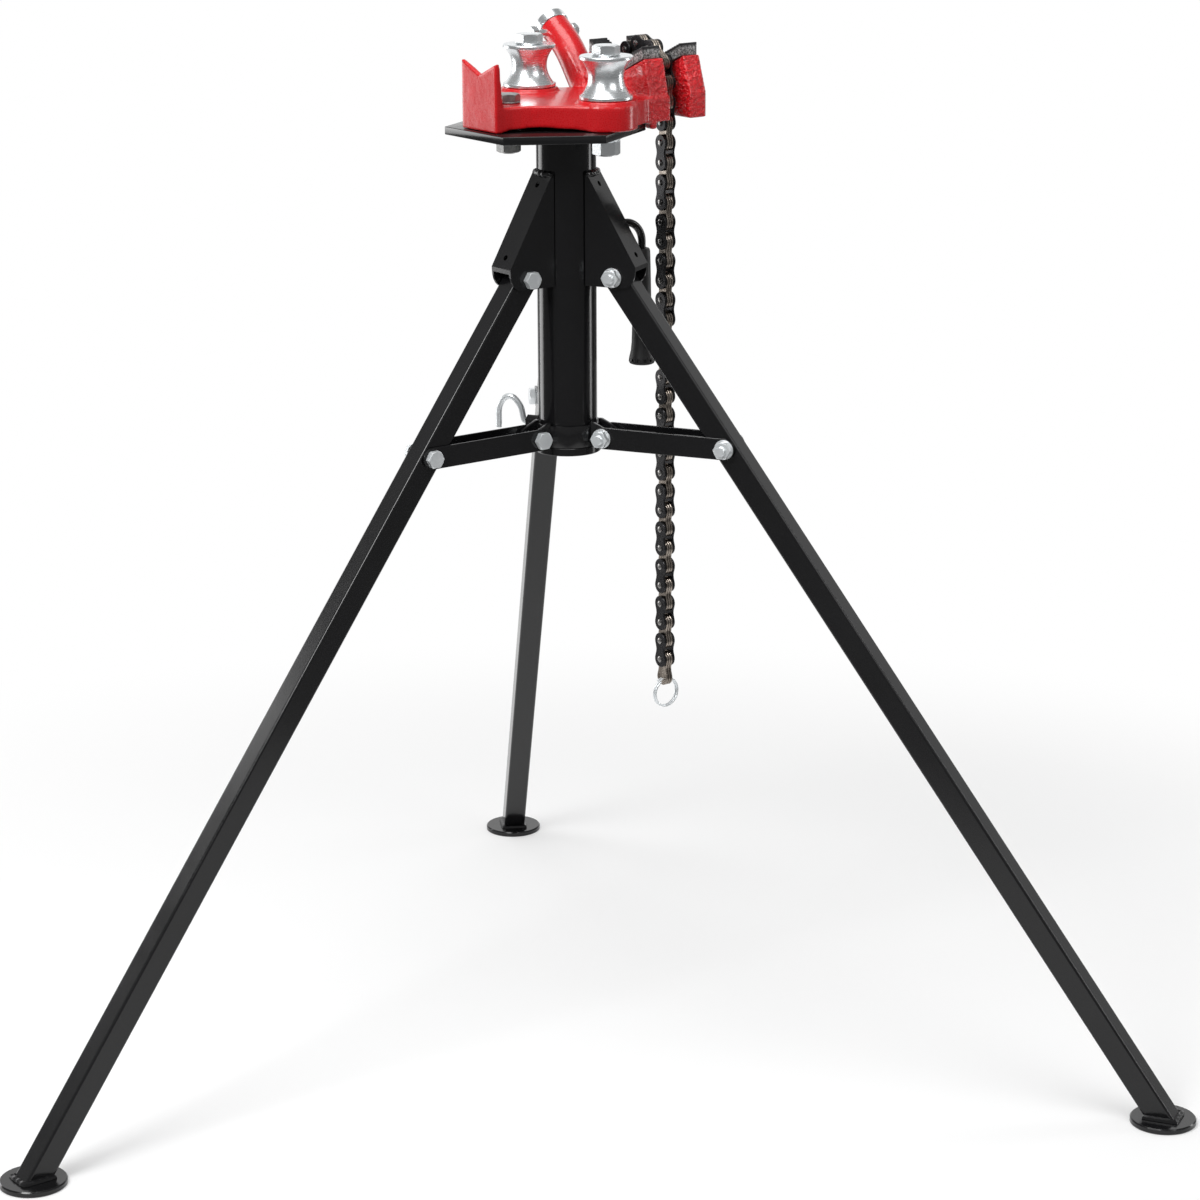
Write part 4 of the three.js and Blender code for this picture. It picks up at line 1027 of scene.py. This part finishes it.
PAIRS, ARCH_PAIRS, PAIRS_PER_RUN = (ARCH_LINKS + HANG_LINKS) // 2, ARCH_LINKS // 2, 3
SIDE_X = LEAF_W / 2 + CHAIN_GAP + SIDE_T / 2
for k in range(PAIRS):
    p, q, r = pins[2 * k: 2 * k + 3]
    link_bm = bmesh.new()
    leaves(link_bm, p, q)
    for sign in (-1, 1):
        lay(link_bm, side_plate, on_pins(q, r, sign * SIDE_X), 0)
    for pin in (q, r):
        lay(link_bm, rivet, Matrix.Translation(AXIS + pin * MM), 2)
    if k == PAIRS - 1:
        leaves(link_bm, r, pins[2 * k + 3])
    body = "frame" if k < ARCH_PAIRS else f"chain_run_{(k - ARCH_PAIRS) // PAIRS_PER_RUN + 1}"
    settle(link_bm, f"links_{k + 1:02d}", body, [side_steel, leaf_steel, rivet_steel],
           [f"chain_{k + 1:02d}"], 40)
print("link pairs", PAIRS)

# %% [markdown]
# ## Split ring
# The ring on the chain's end is one wire wound twice. A small circle is spun round the ring's axis with a
# sideways step, which makes a short helix in a single operation.

# %% Split ring
RING_R, RING_WIRE, RING_STEP, RING_TURN = 15.0, 2.2, 3.0, -0.6
STEPS = 96
ring_bm = bmesh.new()
bmesh.ops.create_circle(ring_bm, cap_ends=True, segments=12, radius=RING_WIRE / 2 * MM)
rotate(ring_bm, math.pi / 2, "X")
rotate(ring_bm, math.pi / 2, "Z")
bmesh.ops.translate(ring_bm, verts=ring_bm.verts, vec=(0, 0, RING_R * MM))
bmesh.ops.spin(ring_bm, geom=ring_bm.verts[:] + ring_bm.edges[:] + ring_bm.faces[:], cent=(0, 0, 0),
               axis=(0, -1, 0), angle=4 * math.pi, steps=STEPS, dvec=(0, 2 * RING_STEP / STEPS * MM, 0),
               use_merge=False, use_duplicate=False)
rotate(ring_bm, RING_TURN, "Y")
end = pins[-1]
ring_middle = AXIS + Vector((end.x, end.y, end.z - RING_WIRE * 0.55 - RING_R)) * MM
shift(ring_bm, ring_middle + Vector((0, -1.4 * RING_STEP * MM, 0)))
settle(ring_bm, "wound_ring", "ring_body", [zinc_plain], ["split_ring"], 50)
print("ring middle", [round(v, 4) for v in ring_middle])

# %% [markdown]
# ## Carrying handle
# A round bar is welded to the column, turns down through a quarter circle and ends inside a rubber grip.
# The bar is a circle that is pulled, spun through the bend and pulled again, which keeps its section true.

# %% Handle
HANDLE_D, HANDLE_Z, HANDLE_R, BEND, HANDLE_END = 8.0, 857.0, 95.0, 21.0, 718.0
TUBE_FACE = COLUMN_R + SEAT
handle_bm = bmesh.new()
bmesh.ops.create_circle(handle_bm, cap_ends=True, segments=20, radius=HANDLE_D / 2 * MM)
rotate(handle_bm, math.pi / 2, "Y")
bmesh.ops.translate(handle_bm, verts=handle_bm.verts, vec=(TUBE_FACE * MM, 0, HANDLE_Z * MM))
handle_bm.faces.ensure_lookup_table()
tip = pull(handle_bm, handle_bm.faces[0], ((HANDLE_R - BEND - TUBE_FACE) * MM, 0, 0))
bent = bmesh.ops.spin(handle_bm, geom=[tip, *tip.edges, *tip.verts],
                      cent=((HANDLE_R - BEND) * MM, 0, (HANDLE_Z - BEND) * MM), axis=(0, 1, 0),
                      angle=math.pi / 2, steps=12, use_merge=False, use_duplicate=False)
tip = next(g for g in bent["geom_last"] if isinstance(g, bmesh.types.BMFace))
pull(handle_bm, tip, (0, 0, -(HANDLE_Z - BEND - HANDLE_END) * MM))
shift(handle_bm, AXIS)
weld_bead(handle_bm, [AXIS + Vector((31.2, 4.6 * math.cos(t), HANDLE_Z + 4.6 * math.sin(t))) * MM
                      for t in [math.radians(d) for d in range(0, 360, 18)]], 1.6 * MM, closed=True)
settle(handle_bm, "handle_bar", "frame", [powder_coat], ["carry_handle"])
print("handle reach", HANDLE_R)

# %% [markdown]
# ## Grip
# The grip is a moulded rubber sleeve, flared at its lower end, with a row of small pits round the flare.
# It is spun. Then two faces out of every five round the flare are joined, inset and sunk, so that the pits
# are part of the mesh.

# %% Grip
GRIP_TOP, GRIP_LENGTH, PIT_STEP, PIT_DEPTH = 829.0, 120.0, 5, 1.5
base = GRIP_TOP - GRIP_LENGTH
grip_bm = bmesh.new()
spun(grip_bm, [(0, base), (11.0, base), (12.6, base + 0.8), (13.5, base + 3), (13.1, base + 6.5),
               (12.4, base + 9.5), (11.4, base + 14), (10.6, base + 22), (10.2, base + 34),
               (9.9, base + 50), (9.6, base + 70), (9.2, base + 92), (8.8, base + 112),
               (8.5, base + 117.5), (7.6, base + 119.6), (6.6, base + 120), (4.4, base + 120),
               (4.4, base + 8.6), (0, base + 8.6)], 60)
bmesh.ops.recalc_face_normals(grip_bm, faces=grip_bm.faces)
rim = []
for face in grip_bm.faces:
    at = face.calc_center_median()
    if base + 4 < at.z / MM < base + 5.5 and at.xy.length > 11 * MM:
        rim.append((math.atan2(at.y, at.x), face))
rim.sort(key=lambda pair: pair[0])
for start in range(0, len(rim), PIT_STEP):
    pit = bmesh.ops.dissolve_faces(grip_bm, faces=[rim[start][1], rim[start + 1][1]])["region"][0]
    pit.normal_update()
    bmesh.ops.inset_region(grip_bm, faces=[pit], thickness=0.3 * MM)
    pull(grip_bm, pit, -pit.normal * PIT_DEPTH * MM)
shift(grip_bm, AXIS + Vector((HANDLE_R * MM, 0, 0)))
settle(grip_bm, "grip_sleeve", "frame", [rubber], ["handle_grip"])
print("grip pits", len(rim) // PIT_STEP)

# %% [markdown]
# ## Clamp screw
# The collar is locked by a screw whose own wire is bent over into a hook for the fingers. A smooth curve
# through the hook's points with a round bevel makes the wire, and it is turned into a mesh at once.

# %% Clamp screw
CLAMP_ANGLE, CLAMP_Z, CLAMP_RISE, CLAMP_REACH = 120, 657.0, 25.0, 47.0
COLLAR_OUT, BOSS_L, CLAMP_STRAIGHT, HOOK_DROP, HOOK_R = 33.5, 11, 1.5, 8, 3.0
hook = [(TUBE_FACE, 0), (COLLAR_OUT + BOSS_L + CLAMP_STRAIGHT, 0)]
for out, up in ((0.50, 0.70), (0.73, 1), (0.93, 0.72)):
    hook.append((TUBE_FACE + CLAMP_REACH * out, CLAMP_RISE * up))
hook.append((TUBE_FACE + CLAMP_REACH, -HOOK_DROP))
hook_bm = round_line("hook_line", [Vector((r, 0, CLAMP_Z + dz)) * MM for r, dz in hook],
                     HOOK_R * MM, sides=4, steps=10, straight=2)
shift(hook_bm, AXIS, Matrix.Rotation(math.radians(CLAMP_ANGLE), 4, "Z"))
settle(hook_bm, "clamp_hook", "clamp_body", [zinc_plain], ["clamp_screw"], 50)
print("hook points", len(hook))

# %% [markdown]
# ## Leaning socket's sleeve and bolt
# The red neck ends in a zinc sleeve with a bolt across it. The sleeve is spun upright and then leaned with
# the socket's mouth. The bolt comes from the bolt maker and is laid along the pipe.

# %% Sleeve and cross bolt
mouth_matrix = Matrix.Rotation(-LEAN, 4, "X")
sleeve_bm = bmesh.new()
spun(sleeve_bm, [(8, -29.7), (9.65, -29.7), (9.65, 0.3), (15.7, 0.3), (16.45, 1.1), (16.45, 9), (15, 10.45),
                 (9.2, 10.45), (8, 9.3), (8, -29.7)], 56)
shift(sleeve_bm, MOUTH, mouth_matrix)
settle(sleeve_bm, "mouth_sleeve", "frame", [zinc_bright], ["socket_sleeve"])
ALONG_X = Matrix(((0, 0, 1, 0), (1, 0, 0, 0), (0, 1, 0, 0), (0, 0, 0, 1)))
BOLT_BACK, STAND_OFF, SOCKET_D = 7.7, 12.5, 31.0
cross_bm = bolt_shape(M8, SOCKET_D + 2 * SEAT + STAND_OFF)
bolt_at = MOUTH - MOUTH_OUT * BOLT_BACK * MM
shift(cross_bm, bolt_at - Vector((SOCKET_D / 2 + SEAT + STAND_OFF, 0, 0)) * MM, ALONG_X)
settle(cross_bm, "mouth_bolt", "socket_bolt_body", [zinc_bright], ["socket_bolt"], flat=True)
print("cross bolt grip", SOCKET_D + 2 * SEAT + STAND_OFF)

# %% [markdown]
# ## Sizes
# The count of dressed pieces and of their triangles is printed.

# %% Sizes
bpy.context.view_layer.update()
print("pieces", len(made_pieces), "triangles",
      sum(len(p.vertices) - 2 for o in made_pieces for p in o.data.polygons))
